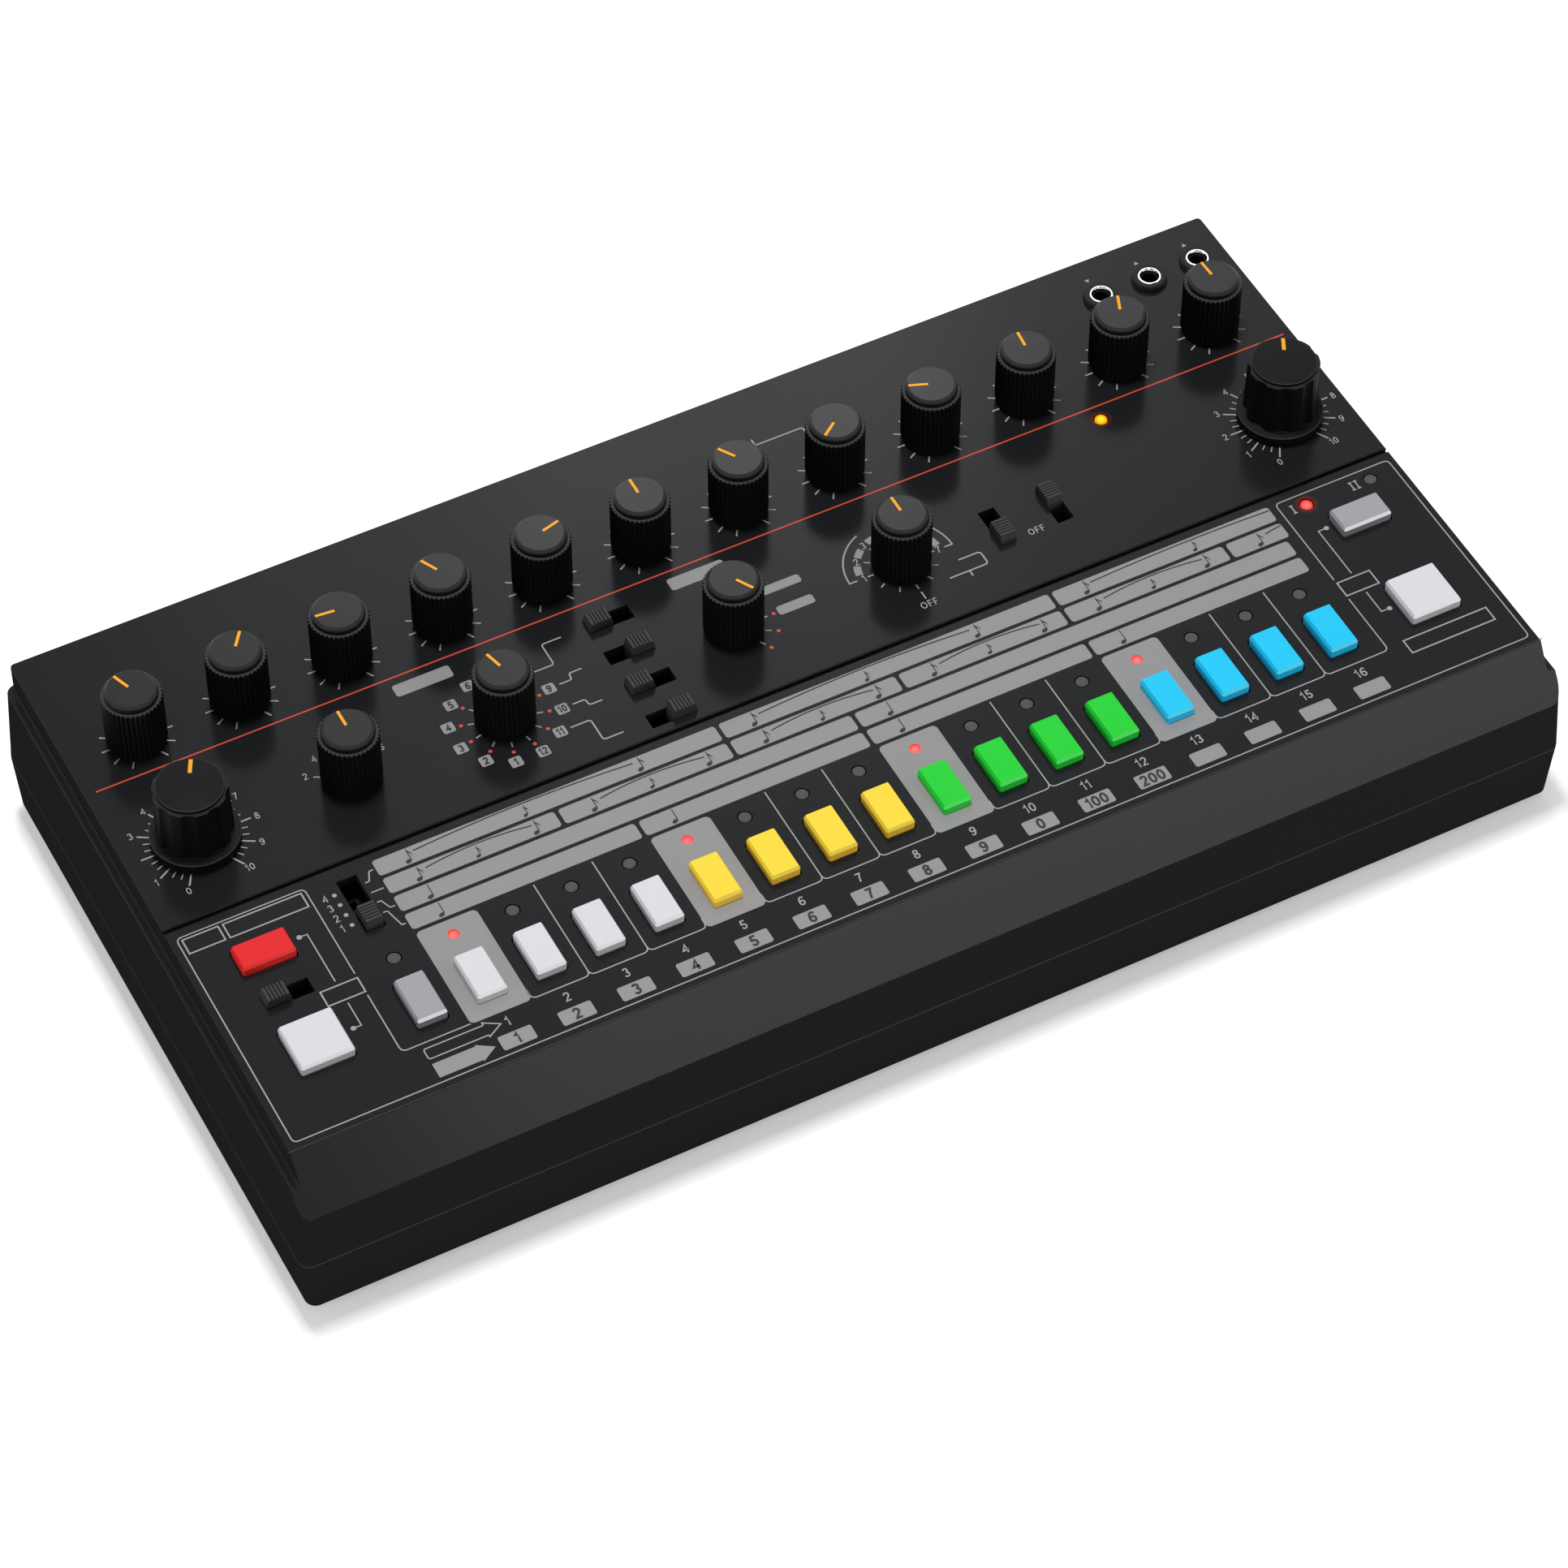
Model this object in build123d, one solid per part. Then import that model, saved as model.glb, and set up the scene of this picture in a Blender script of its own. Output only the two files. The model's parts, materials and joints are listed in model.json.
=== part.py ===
"""Desktop drum machine: case, controls and inner works, in millimetres, +Z up.

Everything is laid out in the deck frame (X from the middle, Y rearward from the deck's
front crease, Z up from the deck's surface) and placed on its feet when it is written out.
"""
import math
import os

from build123d import *

# ---- case -----------------------------------------------------------------------------
DECK_LENGTH = 299.7
DECK_DEPTH = 148.1
BEVEL_RUN = 8.0
BEVEL_ANGLE = 60.0
LEDGE_DROP = 6.85
LEDGE_WIDTH = 2.0
LEDGE_ROUND = 0.3
LEDGE_FILLET = 0.7
DECK_EDGE_ROUND = 0.35
DECK_CORNER_ROUND = 1.0
UPPER_HEIGHT = 28.7
LOWER_HEIGHT = 15.3
DRAFT = 3.0
CORNER_ROUND = 2.6
WALL = 2.5
PARTING_CHAMFER = 0.25
GROOVE_Y = 64.2
GROOVE_WIDTH = 1.0
GROOVE_DEEP = 1.2
GROOVE_CHAMFER = 0.25
LIP_CLEARANCE = 0.2
LIP_THICKNESS = 1.2
LIP_RISE = 1.5
LIP_ROOT = 2.3
FOOT_RADIUS = 7.0
FOOT_HEIGHT = 2.2
FOOT_INSET = 16.0
FRONT_FOOT_Y = 8.0

# ---- general fits ---------------------------------------------------------------------
RUNNING = 0.05
LOOSE = 0.35
SEAT_GAP = 0.1

# ---- boards ---------------------------------------------------------------------------
BOARD_DROP = 12.0
BOARD_THICKNESS = 1.6
BOARD_EDGE_GAP = 1.4
BOARD_FRONT_Y = 9.5
REAR_BOARD_LEFT = -62.0
REAR_BOARD_RIGHT = 88.6
REAR_BOARD_DEPTH = 26.0
STANDOFF_HEIGHT = 1.5
STANDOFF_RADIUS = 3.0
BOARD_SCREW_SHANK = 1.1
BOARD_SCREW_LENGTH = 4.0
BOARD_SCREW_HEAD = 2.3
BOARD_SCREW_HEAD_HEIGHT = 1.4
BOARD_HOLE_CLEARANCE = 0.3

# ---- case screws ----------------------------------------------------------------------
CASE_SCREW_SHANK = 1.45
CASE_SCREW_LENGTH = 10.5
CASE_SCREW_HEAD = 3.0
CASE_SCREW_HEAD_HEIGHT = 2.2
CASE_SCREW_SINK = 4.0
CASE_BOSS_RADIUS = 3.5
PILLAR_RISE = 5.5
BOSS_SIDE_INSET = 39.85
FRONT_BOSS_Y = 4.5
REAR_BOSS_INSET = 23.0

# ---- rotary controls ------------------------------------------------------------------
COLUMNS = 12
COLUMN_MARGIN = 16.31
LEVEL_ROW_INSET = 32.5
SELECTOR_ROW_INSET = 63.85
KNOB_LIFT = 1.2
RIB_TOP = 15.05
RIB_RADIUS = 6.75
RIB_DEEP = 0.45
RIB_COUNT = 40
PLUG_RADIUS = 5.9
PLUG_TOP = 15.95
CAP_RADIUS = 5.66
CAP_BEVEL = 0.5
KNOB_TOP = 16.75
POINTER_WIDTH = 0.9
POINTER_INNER = 1.0
POINTER_DEEP = 0.25
BIG_SKIRT_RADIUS = 9.87
BIG_LIFT = 0.8
BIG_SKIRT_TOP = 3.0
BIG_BASE_RADIUS = 8.5
BIG_SHOULDER_RADIUS = 8.15
BIG_SHOULDER_TOP = 17.15
BIG_RIM_RADIUS = 7.35
BIG_RIM_TOP = 17.95
BIG_DOME_RISE = 0.8
BIG_FLUTES = 9
BIG_FLUTE_RADIUS = 3.2
BIG_FLUTE_DEEP = 0.5
BIG_POINTER_WIDTH = 1.1
BIG_POINTER_INNER = 3.9
SPINDLE_RADIUS = 3.0
SPINDLE_FLAT = 1.5
SPINDLE_GRIP = 10.0
KNOB_HUB_WALL = 1.2
SPINDLE_HOLE_CLEARANCE = 0.6
POT_LENGTH = 9.5
POT_DEPTH = 11.5
BIG_POT_SIDE = 16.0
ROTARY_SIDE = 17.0
POT_HEIGHT = 7.0
BUSHING_WALL = 0.8
BUSHING_GAP = 0.3
POT_FLOOR = 1.5

# ---- push buttons ---------------------------------------------------------------------
STEP_COUNT = 16
STEP_ROW_MARGIN = 39.98
STEP_ROW_Y = 22.7
KEY_WIDTH = 6.9
KEY_LENGTH = 12.3
KEY_RISE = 2.45
KEY_BEVEL_RUN = 0.38
KEY_BEVEL_DROP = 0.8
KEY_ROUND = 0.6
KEY_CLEARANCE = 0.3
KEY_TRAVEL = 1.0
FLANGE_LAP = 0.9
FLANGE_THICKNESS = 1.2
CORNER_KEY_MARGIN = 16.3
UPPER_KEY_Y = 49.2
STEM_RADIUS = 1.6
TACT_SIDE = 6.2
TACT_HEIGHT = 5.0
STEM_ENTRY = 0.9
STOP_GAP = 0.3

# ---- slide switches -------------------------------------------------------------------
SLIDER_TRAVEL = 5.0
SLIDER_LENGTH = 5.75
SLIDER_WIDTH = 3.7
SLIDER_TAPER = 0.5
SLIDER_RISE = 2.5
SLIDER_SHOULDER = 0.9
SLIDER_RIDGES = 6
SLIDER_RIDGE_DEEP = 0.35
SLOT_SIDE_GAP = 0.2
SLOT_END_GAP = 0.1
LEVER_LENGTH = 3.0
LEVER_WIDTH = 1.6
LEVER_ENTRY = 2.0
SLIDE_BODY_HEIGHT = 5.0
SLIDE_BODY_WALL = 2.0
SLIDE_CAP_GAP = 0.4
VOICE_COUNT = 4
VOICE_COLUMN = 4.338
VOICE_PITCH = 10.2
VARIATION_Y = 37.5
SCALE_Y = 52.2
SCALE_STEPS = 3
SCALE_STEP = 3.0
SCALE_END_GAP = 0.28
SCALE_SIDE_GAP = 0.5
FADE_IN_COLUMN = 8.0
FADE_OUT_COLUMN = 8.6

# ---- lights ---------------------------------------------------------------------------
LIGHT_ROW_Y = 35.8
LENS_RADIUS = 1.5
LENS_DOME = 0.35
LENS_CLEARANCE = 0.2
LIGHT_BASE_EXTRA = 0.4
LIGHT_BASE_DROP = 3.2
PATTERN_LIGHT_Y = 58.15
PATTERN_LIGHT_MARGIN = 8.1
PATTERN_LIGHT_PITCH = 16.65
DOME_LIGHT_COLUMN = 9.51
DOME_LIGHT_INSET = 46.0
DOME_LIGHT_RISE = 1.3

# ---- mini jacks -----------------------------------------------------------------------
JACK_COUNT = 3
JACK_PITCH = 12.77
JACK_MARGIN = 8.03
JACK_INSET = 12.74
JACK_BORE = 1.8
JACK_BORE_FLOOR = 1.0
JACK_BUSHING = 2.7
JACK_BUSHING_RISE = 1.6
JACK_COLLAR = 4.35
JACK_COLLAR_TAPER = 0.4
JACK_COLLAR_RISE = 1.5
JACK_BODY_LENGTH = 9.0
JACK_BODY_DEPTH = 10.4
JACK_HOLE_CLEARANCE = 0.3

# ---- rear connectors ------------------------------------------------------------------
REAR_FACE_INSET = 0.85
NOSE_CLEARANCE = 0.3
NOSE_ROOT_INSET = 4.3
POWER_X = -50.0
POWER_BUTTON_SIDE = 6.4
POWER_BODY_SIDE = 10.0
POWER_BODY_DEPTH = 14.0
POWER_BUTTON_ROOT = 6.2
POWER_TRAVEL = 1.5
POWER_STEM_RADIUS = 2.0
POWER_STEM_LENGTH = 4.8
POWER_BODY_GAP = 1.0
POWER_CHAMFER = 0.6
SUPPLY_X = -35.0
SUPPLY_SIDE = 8.4
SUPPLY_HOLE = 3.1
SUPPLY_PIN = 1.0
SUPPLY_DEEP = 10.0
DATA_X = -18.0
DATA_WIDTH = 11.0
DATA_HEIGHT = 10.0
DATA_WALL = 1.2
DATA_DEEP = 9.0
ROUND_X = (20.0, 43.0)
ROUND_SIDE = 18.0
ROUND_NOSE = 7.9
ROUND_RECESS = 6.9
ROUND_CORE = 5.7
ROUND_CORE_SINK = 0.5
ROUND_DEEP = 9.0
LINE_X = 63.0
LINE_SIDE = 14.0
LINE_BORE = 3.25
LINE_NOSE = 5.2
LINE_DEEP = 24.0
PHONES_X = 77.5
PHONES_SIDE = 7.0
PHONES_BORE = 1.8
PHONES_NOSE = 2.9
PHONES_DEEP = 12.0
SOCKET_WALL = 1.5

# ---- derived --------------------------------------------------------------------------
SLOPE = math.tan(math.radians(DRAFT))
BEVEL_DROP = BEVEL_RUN * math.tan(math.radians(BEVEL_ANGLE))
PARTING_Z = -UPPER_HEIGHT
BASE_Z = -(UPPER_HEIGHT + LOWER_HEIGHT)
FLOOR_Z = BASE_Z + WALL
DECK_HALF = DECK_LENGTH / 2
PARTING_HALF = DECK_HALF + LEDGE_WIDTH + (UPPER_HEIGHT - LEDGE_DROP) * SLOPE
PARTING_FRONT = -BEVEL_RUN - (UPPER_HEIGHT - BEVEL_DROP) * SLOPE
PARTING_REAR = DECK_DEPTH + (UPPER_HEIGHT - LEDGE_DROP) * SLOPE
MIDDLE_Y = (PARTING_FRONT + PARTING_REAR) / 2
DECK_HEIGHT = UPPER_HEIGHT + LOWER_HEIGHT + FOOT_HEIGHT
BOARD_Z = -BOARD_DROP
PLACE = Pos(0, -MIDDLE_Y, DECK_HEIGHT)

COLUMN_PITCH = (DECK_LENGTH - 2 * COLUMN_MARGIN) / (COLUMNS - 1)
STEP_PITCH = (DECK_LENGTH - 2 * STEP_ROW_MARGIN) / STEP_COUNT
LEVEL_ROW_Y = DECK_DEPTH - LEVEL_ROW_INSET
SELECTOR_ROW_Y = DECK_DEPTH - SELECTOR_ROW_INSET


def column(number):
    return COLUMN_MARGIN - DECK_HALF + number * COLUMN_PITCH


def step_x(number):
    return STEP_ROW_MARGIN - DECK_HALF + number * STEP_PITCH


CORNER_KEY_X = DECK_HALF - CORNER_KEY_MARGIN
SCALE_X = step_x(0)
JACK_Y = DECK_DEPTH - JACK_INSET

CASE_SCREWS = []
for side in (-1, 0, 1):
    for boss_y in (FRONT_BOSS_Y, DECK_DEPTH - REAR_BOSS_INSET):
        CASE_SCREWS.append((side * (DECK_HALF - BOSS_SIDE_INSET), boss_y))

POSTS = [(column(0.55), SELECTOR_ROW_Y + 17.0), (column(5.7), SELECTOR_ROW_Y + 17.0)]
POSTS += [(column(10.1), SELECTOR_ROW_Y + 17.0), (column(0.4), GROOVE_Y + 2.0)]
POSTS += [(column(5.7), GROOVE_Y - 3.0), (column(9.8), GROOVE_Y + 2.0)]

# ---- named controls: (name, x, y, pointer angle clockwise from the rear) -----------------
LEVEL_ANGLES = (-20.7, 35.9, -84.1, -26.7, 74.8, 0.7, -32.1, -126.3, -68.5, 6.0, 22.5, -1.7)
LEVELS = []
for number, angle in enumerate(LEVEL_ANGLES):
    LEVELS.append((f"level_knob_{number + 1:02d}", column(number), LEVEL_ROW_Y, angle))
SELECTORS = [
    ("measure_selector_knob", column(1.5), SELECTOR_ROW_Y, 0.0),
    ("track_selector_knob", column(3), SELECTOR_ROW_Y, -15.0),
    ("mode_selector_knob", column(5.286), SELECTOR_ROW_Y, 150.0),
    ("fill_selector_knob", column(7), SELECTOR_ROW_Y, 0.0),
]
BIG_KNOBS = [
    ("tempo_knob", column(0), SELECTOR_ROW_Y, 26.3),
    ("volume_knob", column(COLUMNS - 1), SELECTOR_ROW_Y, 27.9),
]

# ---- named buttons: (name, x, y, size in x, size in y) -----------------------------------
BUTTONS = [("function_button", step_x(0), STEP_ROW_Y, KEY_WIDTH, KEY_LENGTH)]
for number in range(1, STEP_COUNT + 1):
    BUTTONS.append((f"step_button_{number:02d}", step_x(number), STEP_ROW_Y, KEY_WIDTH, KEY_LENGTH))
BUTTONS += [
    ("clear_button", -CORNER_KEY_X, UPPER_KEY_Y, KEY_LENGTH, KEY_WIDTH),
    ("start_button", -CORNER_KEY_X, STEP_ROW_Y, KEY_LENGTH, KEY_LENGTH),
    ("pattern_button", CORNER_KEY_X, UPPER_KEY_Y, KEY_LENGTH, KEY_WIDTH),
    ("tap_button", CORNER_KEY_X, STEP_ROW_Y, KEY_LENGTH, KEY_LENGTH),
]

# ---- named slide switches: (name, slot x, slot y, direction, travel, rest, end gap, side gap)
SLIDERS = []
for number, rest in enumerate((0.0, 1.0, 0.0, 1.0)):
    slot_y = SELECTOR_ROW_Y + (VOICE_COUNT / 2 - 0.5 - number) * VOICE_PITCH
    voice = (f"voice_switch_cap_{number + 1}", column(VOICE_COLUMN), slot_y)
    SLIDERS.append(voice + ("X", SLIDER_TRAVEL, rest, SLOT_END_GAP, SLOT_SIDE_GAP))
SLIDERS += [
    ("variation_switch_cap", -CORNER_KEY_X, VARIATION_Y, "X", SLIDER_TRAVEL, 0.0,
     SLOT_END_GAP, SLOT_SIDE_GAP),
    ("scale_switch_cap", SCALE_X, SCALE_Y, "Y", SCALE_STEPS * SCALE_STEP, 0.0,
     SCALE_END_GAP, SCALE_SIDE_GAP),
    ("fade_in_switch_cap", column(FADE_IN_COLUMN), SELECTOR_ROW_Y, "Y", SLIDER_TRAVEL, 0.0,
     SLOT_END_GAP, SLOT_SIDE_GAP),
    ("fade_out_switch_cap", column(FADE_OUT_COLUMN), SELECTOR_ROW_Y, "Y", SLIDER_TRAVEL, 1.0,
     SLOT_END_GAP, SLOT_SIDE_GAP),
]

# ---- lights: (x, y, rise of the lens over the deck) --------------------------------------
LIGHTS = [(step_x(number), LIGHT_ROW_Y, LENS_DOME) for number in range(STEP_COUNT + 1)]
PATTERN_RIGHT = DECK_HALF - PATTERN_LIGHT_MARGIN
LIGHTS.append((PATTERN_RIGHT - PATTERN_LIGHT_PITCH, PATTERN_LIGHT_Y, LENS_DOME))
LIGHTS.append((PATTERN_RIGHT, PATTERN_LIGHT_Y, LENS_DOME))
LIGHTS.append((column(DOME_LIGHT_COLUMN), DECK_DEPTH - DOME_LIGHT_INSET, DOME_LIGHT_RISE))

JACKS = [(DECK_HALF - JACK_MARGIN - number * JACK_PITCH, JACK_Y) for number in range(JACK_COUNT)]


# ---- shapes ---------------------------------------------------------------------------
def block(x0, x1, y0, y1, z0, z1):
    return Pos((x0 + x1) / 2, (y0 + y1) / 2, (z0 + z1) / 2) * Box(x1 - x0, y1 - y0, z1 - z0)


def prism(x, y, length, depth, z0, z1, radius=0.0):
    outline = RectangleRounded(length, depth, radius) if radius else Rectangle(length, depth)
    return Pos(x, y, z0) * extrude(outline, z1 - z0)


def crowned(x, y, length, depth, z0, z1, radius, run, drop):
    """Prism with rounded upright corners and a bevel of this run and drop round its top."""
    lower = RectangleRounded(length, depth, radius)
    upper = RectangleRounded(length - 2 * run, depth - 2 * run, max(radius - run, 0.1))
    crown = loft([Pos(x, y, z1 - drop) * lower, Pos(x, y, z1) * upper], ruled=True)
    return prism(x, y, length, depth, z0, z1 - drop, radius) + crown


def disc(x, y, radius, z0, z1):
    return Pos(x, y, z0) * extrude(Circle(radius), z1 - z0)


def rod(x, z, radius, y0, y1):
    return Pos(x, y0, z) * Rot(-90, 0, 0) * extrude(Circle(radius), y1 - y0)


def turned(points):
    return revolve(make_face(Plane.XZ * Polyline(*points, close=True)), Axis.Z)


def drafted(z0, z1, inset, chamfered=0.0):
    """Block with drafted walls between two heights, all walls moved in by inset."""
    levels = [(z0, 0.0), (z1, 0.0)]
    if chamfered and z0 == PARTING_Z:
        levels = [(z0, chamfered), (z0 + chamfered, 0.0), (z1, 0.0)]
    if chamfered and z1 == PARTING_Z:
        levels = [(z0, 0.0), (z1 - chamfered, 0.0), (z1, chamfered)]
    sections = []
    for z, extra in levels:
        back = abs(z - PARTING_Z) * SLOPE + inset + extra
        length = 2 * (PARTING_HALF - back)
        depth = PARTING_REAR - PARTING_FRONT - 2 * back
        outline = RectangleRounded(length, depth, max(CORNER_ROUND - inset, 0.8))
        sections.append(Pos(0, MIDDLE_Y, z) * outline)
    return loft(sections, ruled=True)


def bevel_cut(inset):
    """Everything in front of the bevel, the bevel's plane moved in by inset."""
    angle = math.radians(BEVEL_ANGLE)
    along = Vector(0, -math.cos(angle), -math.sin(angle))
    outward = Vector(0, -math.sin(angle), math.cos(angle))
    start = outward * -inset
    corners = [start - along * 20, start + along * 60, start + along * 60 + outward * 40,
               start - along * 20 + outward * 40]
    outline = make_face(Plane.YZ * Polyline(*[(c.Y, c.Z) for c in corners], close=True))
    return extrude(outline, DECK_LENGTH, both=True)


def upper_block(inset, chamfered=0.0):
    ledge = -LEDGE_DROP - inset
    half = DECK_HALF - inset
    deck = block(-half, half, PARTING_FRONT, DECK_DEPTH - inset, ledge - 1, -inset)
    corners = deck.edges().filter_by(Axis.Z).group_by(Axis.Y)[-1]
    deck = fillet(corners, DECK_CORNER_ROUND)
    return drafted(PARTING_Z, ledge, inset, chamfered) + deck - bevel_cut(inset)


# ---- nodes ----------------------------------------------------------------------------
def key_hole(x, y, length, depth):
    gap = 2 * KEY_CLEARANCE
    return prism(x, y, length + gap, depth + gap, -2 * WALL, 1, KEY_ROUND)


def slot_size(travel, end_gap, side_gap):
    return SLIDER_LENGTH + travel + 2 * end_gap, SLIDER_WIDTH + 2 * side_gap


def slot_hole(slider):
    name, x, y, way, travel, rest, end_gap, side_gap = slider
    length, width = slot_size(travel, end_gap, side_gap)
    if way == "Y":
        length, width = width, length
    return prism(x, y, length, width, -2 * WALL, 1)


def deck_openings():
    cuts = []
    for name, x, y, angle in LEVELS + SELECTORS + BIG_KNOBS:
        cuts.append(disc(x, y, SPINDLE_RADIUS + SPINDLE_HOLE_CLEARANCE, -2 * WALL, 1))
    for name, x, y, length, depth in BUTTONS:
        cuts.append(key_hole(x, y, length, depth))
    for slider in SLIDERS:
        cuts.append(slot_hole(slider))
    for x, y, rise in LIGHTS:
        cuts.append(disc(x, y, LENS_RADIUS + LENS_CLEARANCE, -2 * WALL, 1))
    for x, y in JACKS:
        cuts.append(disc(x, y, JACK_BUSHING + JACK_HOLE_CLEARANCE, -2 * WALL, 1))
    return cuts


def groove():
    half = GROOVE_WIDTH / 2
    wide = half + GROOVE_CHAMFER
    points = [(GROOVE_Y - half, -GROOVE_DEEP), (GROOVE_Y - half, -GROOVE_CHAMFER),
              (GROOVE_Y - wide, 0), (GROOVE_Y - wide, 1), (GROOVE_Y + wide, 1),
              (GROOVE_Y + wide, 0), (GROOVE_Y + half, -GROOVE_CHAMFER),
              (GROOVE_Y + half, -GROOVE_DEEP)]
    outline = make_face(Plane.YZ * Polyline(*points, close=True))
    return extrude(outline, DECK_HALF, both=True)


def ledge_trim(side):
    """Rounding of the ledge's outer edge on one side."""
    edge = DECK_HALF + LEDGE_WIDTH
    corner = block(edge - LEDGE_ROUND, edge + 1, -30, DECK_DEPTH + 10,
                   -LEDGE_DROP - LEDGE_ROUND, -LEDGE_DROP + 1)
    keep = rod(edge - LEDGE_ROUND, -LEDGE_DROP - LEDGE_ROUND, LEDGE_ROUND, -31, DECK_DEPTH + 11)
    cut = corner - keep
    return cut if side > 0 else mirror(cut, Plane.YZ)


def ledge_root(side):
    """Fillet between the ledge and the deck's side wall."""
    wall = DECK_HALF
    end = DECK_DEPTH - DECK_CORNER_ROUND
    strip = block(wall - 0.2, wall + LEDGE_FILLET, -BEVEL_RUN, end,
                  -LEDGE_DROP - 0.2, -LEDGE_DROP + LEDGE_FILLET)
    hollow = rod(wall + LEDGE_FILLET, -LEDGE_DROP + LEDGE_FILLET, LEDGE_FILLET, -BEVEL_RUN - 1,
                 end + 1)
    strip = strip - hollow
    return strip if side > 0 else mirror(strip, Plane.YZ)


def rear_noses(extra):
    """The parts of the rear connectors that stand in the case's rear wall."""
    y0 = PARTING_REAR - NOSE_ROOT_INSET
    y1 = PARTING_REAR - REAR_FACE_INSET
    noses = []
    half = SUPPLY_SIDE / 2 + extra
    z = rear_axis(SUPPLY_SIDE)
    noses.append(block(SUPPLY_X - half, SUPPLY_X + half, y0, y1, z - half, z + half))
    half = DATA_WIDTH / 2 + extra
    z = rear_axis(DATA_HEIGHT)
    tall = DATA_HEIGHT / 2 + extra
    noses.append(block(DATA_X - half, DATA_X + half, y0, y1, z - tall, z + tall))
    for x in ROUND_X:
        noses.append(rod(x, rear_axis(ROUND_SIDE), ROUND_NOSE + extra, y0, y1))
    noses.append(rod(LINE_X, rear_axis(LINE_SIDE), LINE_NOSE + extra, y0, y1))
    noses.append(rod(PHONES_X, rear_axis(PHONES_SIDE), PHONES_NOSE + extra, y0, y1))
    return noses


def rear_axis(side):
    """Height of a rear connector's middle, from its body's height over the rear board."""
    return REAR_BOARD_Z + side / 2


def rear_openings():
    cuts = []
    for nose in rear_noses(NOSE_CLEARANCE):
        cuts.append(nose)
        cuts.append(Pos(0, REAR_FACE_INSET + 1, 0) * nose)
    half = POWER_BUTTON_SIDE / 2 + LOOSE
    z = rear_axis(POWER_BODY_SIDE)
    y0 = PARTING_REAR - POWER_BUTTON_ROOT
    cuts.append(block(POWER_X - half, POWER_X + half, y0, PARTING_REAR + 1, z - half, z + half))
    return cuts


REAR_BOARD_Z = FLOOR_Z + STANDOFF_HEIGHT + BOARD_THICKNESS
SEAT_Z = FLOOR_Z + PILLAR_RISE
REAR_BOARD_REAR = PARTING_REAR - NOSE_ROOT_INSET
REAR_BOARD_FRONT = REAR_BOARD_REAR - REAR_BOARD_DEPTH
REAR_SCREWS = []
for screw_x in (REAR_BOARD_LEFT + STANDOFF_RADIUS, REAR_BOARD_RIGHT - STANDOFF_RADIUS):
    for screw_y in (REAR_BOARD_FRONT + STANDOFF_RADIUS, REAR_BOARD_REAR - STANDOFF_RADIUS):
        REAR_SCREWS.append((screw_x, screw_y))


def build_upper_case():
    body = upper_block(0, PARTING_CHAMFER)
    for side in (-1, 1):
        body = body + ledge_root(side)
    body = body - bevel_cut(0)
    for side in (-1, 1):
        body = body - ledge_trim(side)
    top = body.faces().filter_by(Axis.Z).sort_by(Axis.Z)[-1]
    body = fillet(top.edges(), DECK_EDGE_ROUND)
    cavity = upper_block(WALL) + drafted(PARTING_Z - 1, PARTING_Z + 1, WALL)
    body = body - cavity
    for x, y in CASE_SCREWS:
        boss = disc(x, y, CASE_BOSS_RADIUS, SEAT_Z, -WALL / 2)
        body = body + (boss - bevel_cut(WALL / 2))
    for x, y in POSTS:
        body = body + disc(x, y, STANDOFF_RADIUS, BOARD_Z, -WALL / 2 - GROOVE_DEEP / 2)
    for x, y in CASE_SCREWS:
        pilot = CASE_SCREW_SHANK + RUNNING
        body = body - disc(x, y, pilot, SEAT_Z - 1, BASE_Z + CASE_SCREW_SINK + CASE_SCREW_LENGTH + 1)
    for x, y in POSTS:
        pilot = BOARD_SCREW_SHANK + RUNNING
        reach = BOARD_Z - BOARD_THICKNESS + BOARD_SCREW_LENGTH + 0.5
        body = body - disc(x, y, pilot, BOARD_Z - 1, reach)
    body = body - groove()
    for cut in deck_openings() + rear_openings():
        body = body - cut
    return body


def build_lower_case():
    body = drafted(BASE_Z, PARTING_Z, 0, PARTING_CHAMFER)
    body = body - drafted(FLOOR_Z, PARTING_Z + 1, WALL)
    lip_out = WALL + LIP_CLEARANCE
    lip_in = lip_out + LIP_THICKNESS
    lip = drafted(PARTING_Z, PARTING_Z + LIP_RISE, lip_out)
    lip = lip + drafted(PARTING_Z - LIP_ROOT, PARTING_Z, WALL / 2)
    lip = lip - drafted(PARTING_Z - LIP_ROOT - 1, PARTING_Z + LIP_RISE + 1, lip_in)
    body = body + lip
    for x, y in CASE_SCREWS:
        body = body + disc(x, y, CASE_BOSS_RADIUS + 1, FLOOR_Z - 0.5, SEAT_Z)
    for x, y in REAR_SCREWS:
        body = body + disc(x, y, STANDOFF_RADIUS, FLOOR_Z - 0.5, FLOOR_Z + STANDOFF_HEIGHT)
    for x, y in CASE_SCREWS:
        body = body - disc(x, y, CASE_SCREW_HEAD + 0.4, BASE_Z - 1, BASE_Z + CASE_SCREW_SINK)
        body = body - disc(x, y, CASE_SCREW_SHANK + 0.25, BASE_Z, SEAT_Z + 1)
    for x, y in REAR_SCREWS:
        top = FLOOR_Z + STANDOFF_HEIGHT
        deep = BOARD_SCREW_LENGTH - BOARD_THICKNESS + 0.2
        body = body - disc(x, y, BOARD_SCREW_SHANK + RUNNING, top - deep, top + 1)
    for cut in rear_openings():
        body = body - cut
    return body


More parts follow.
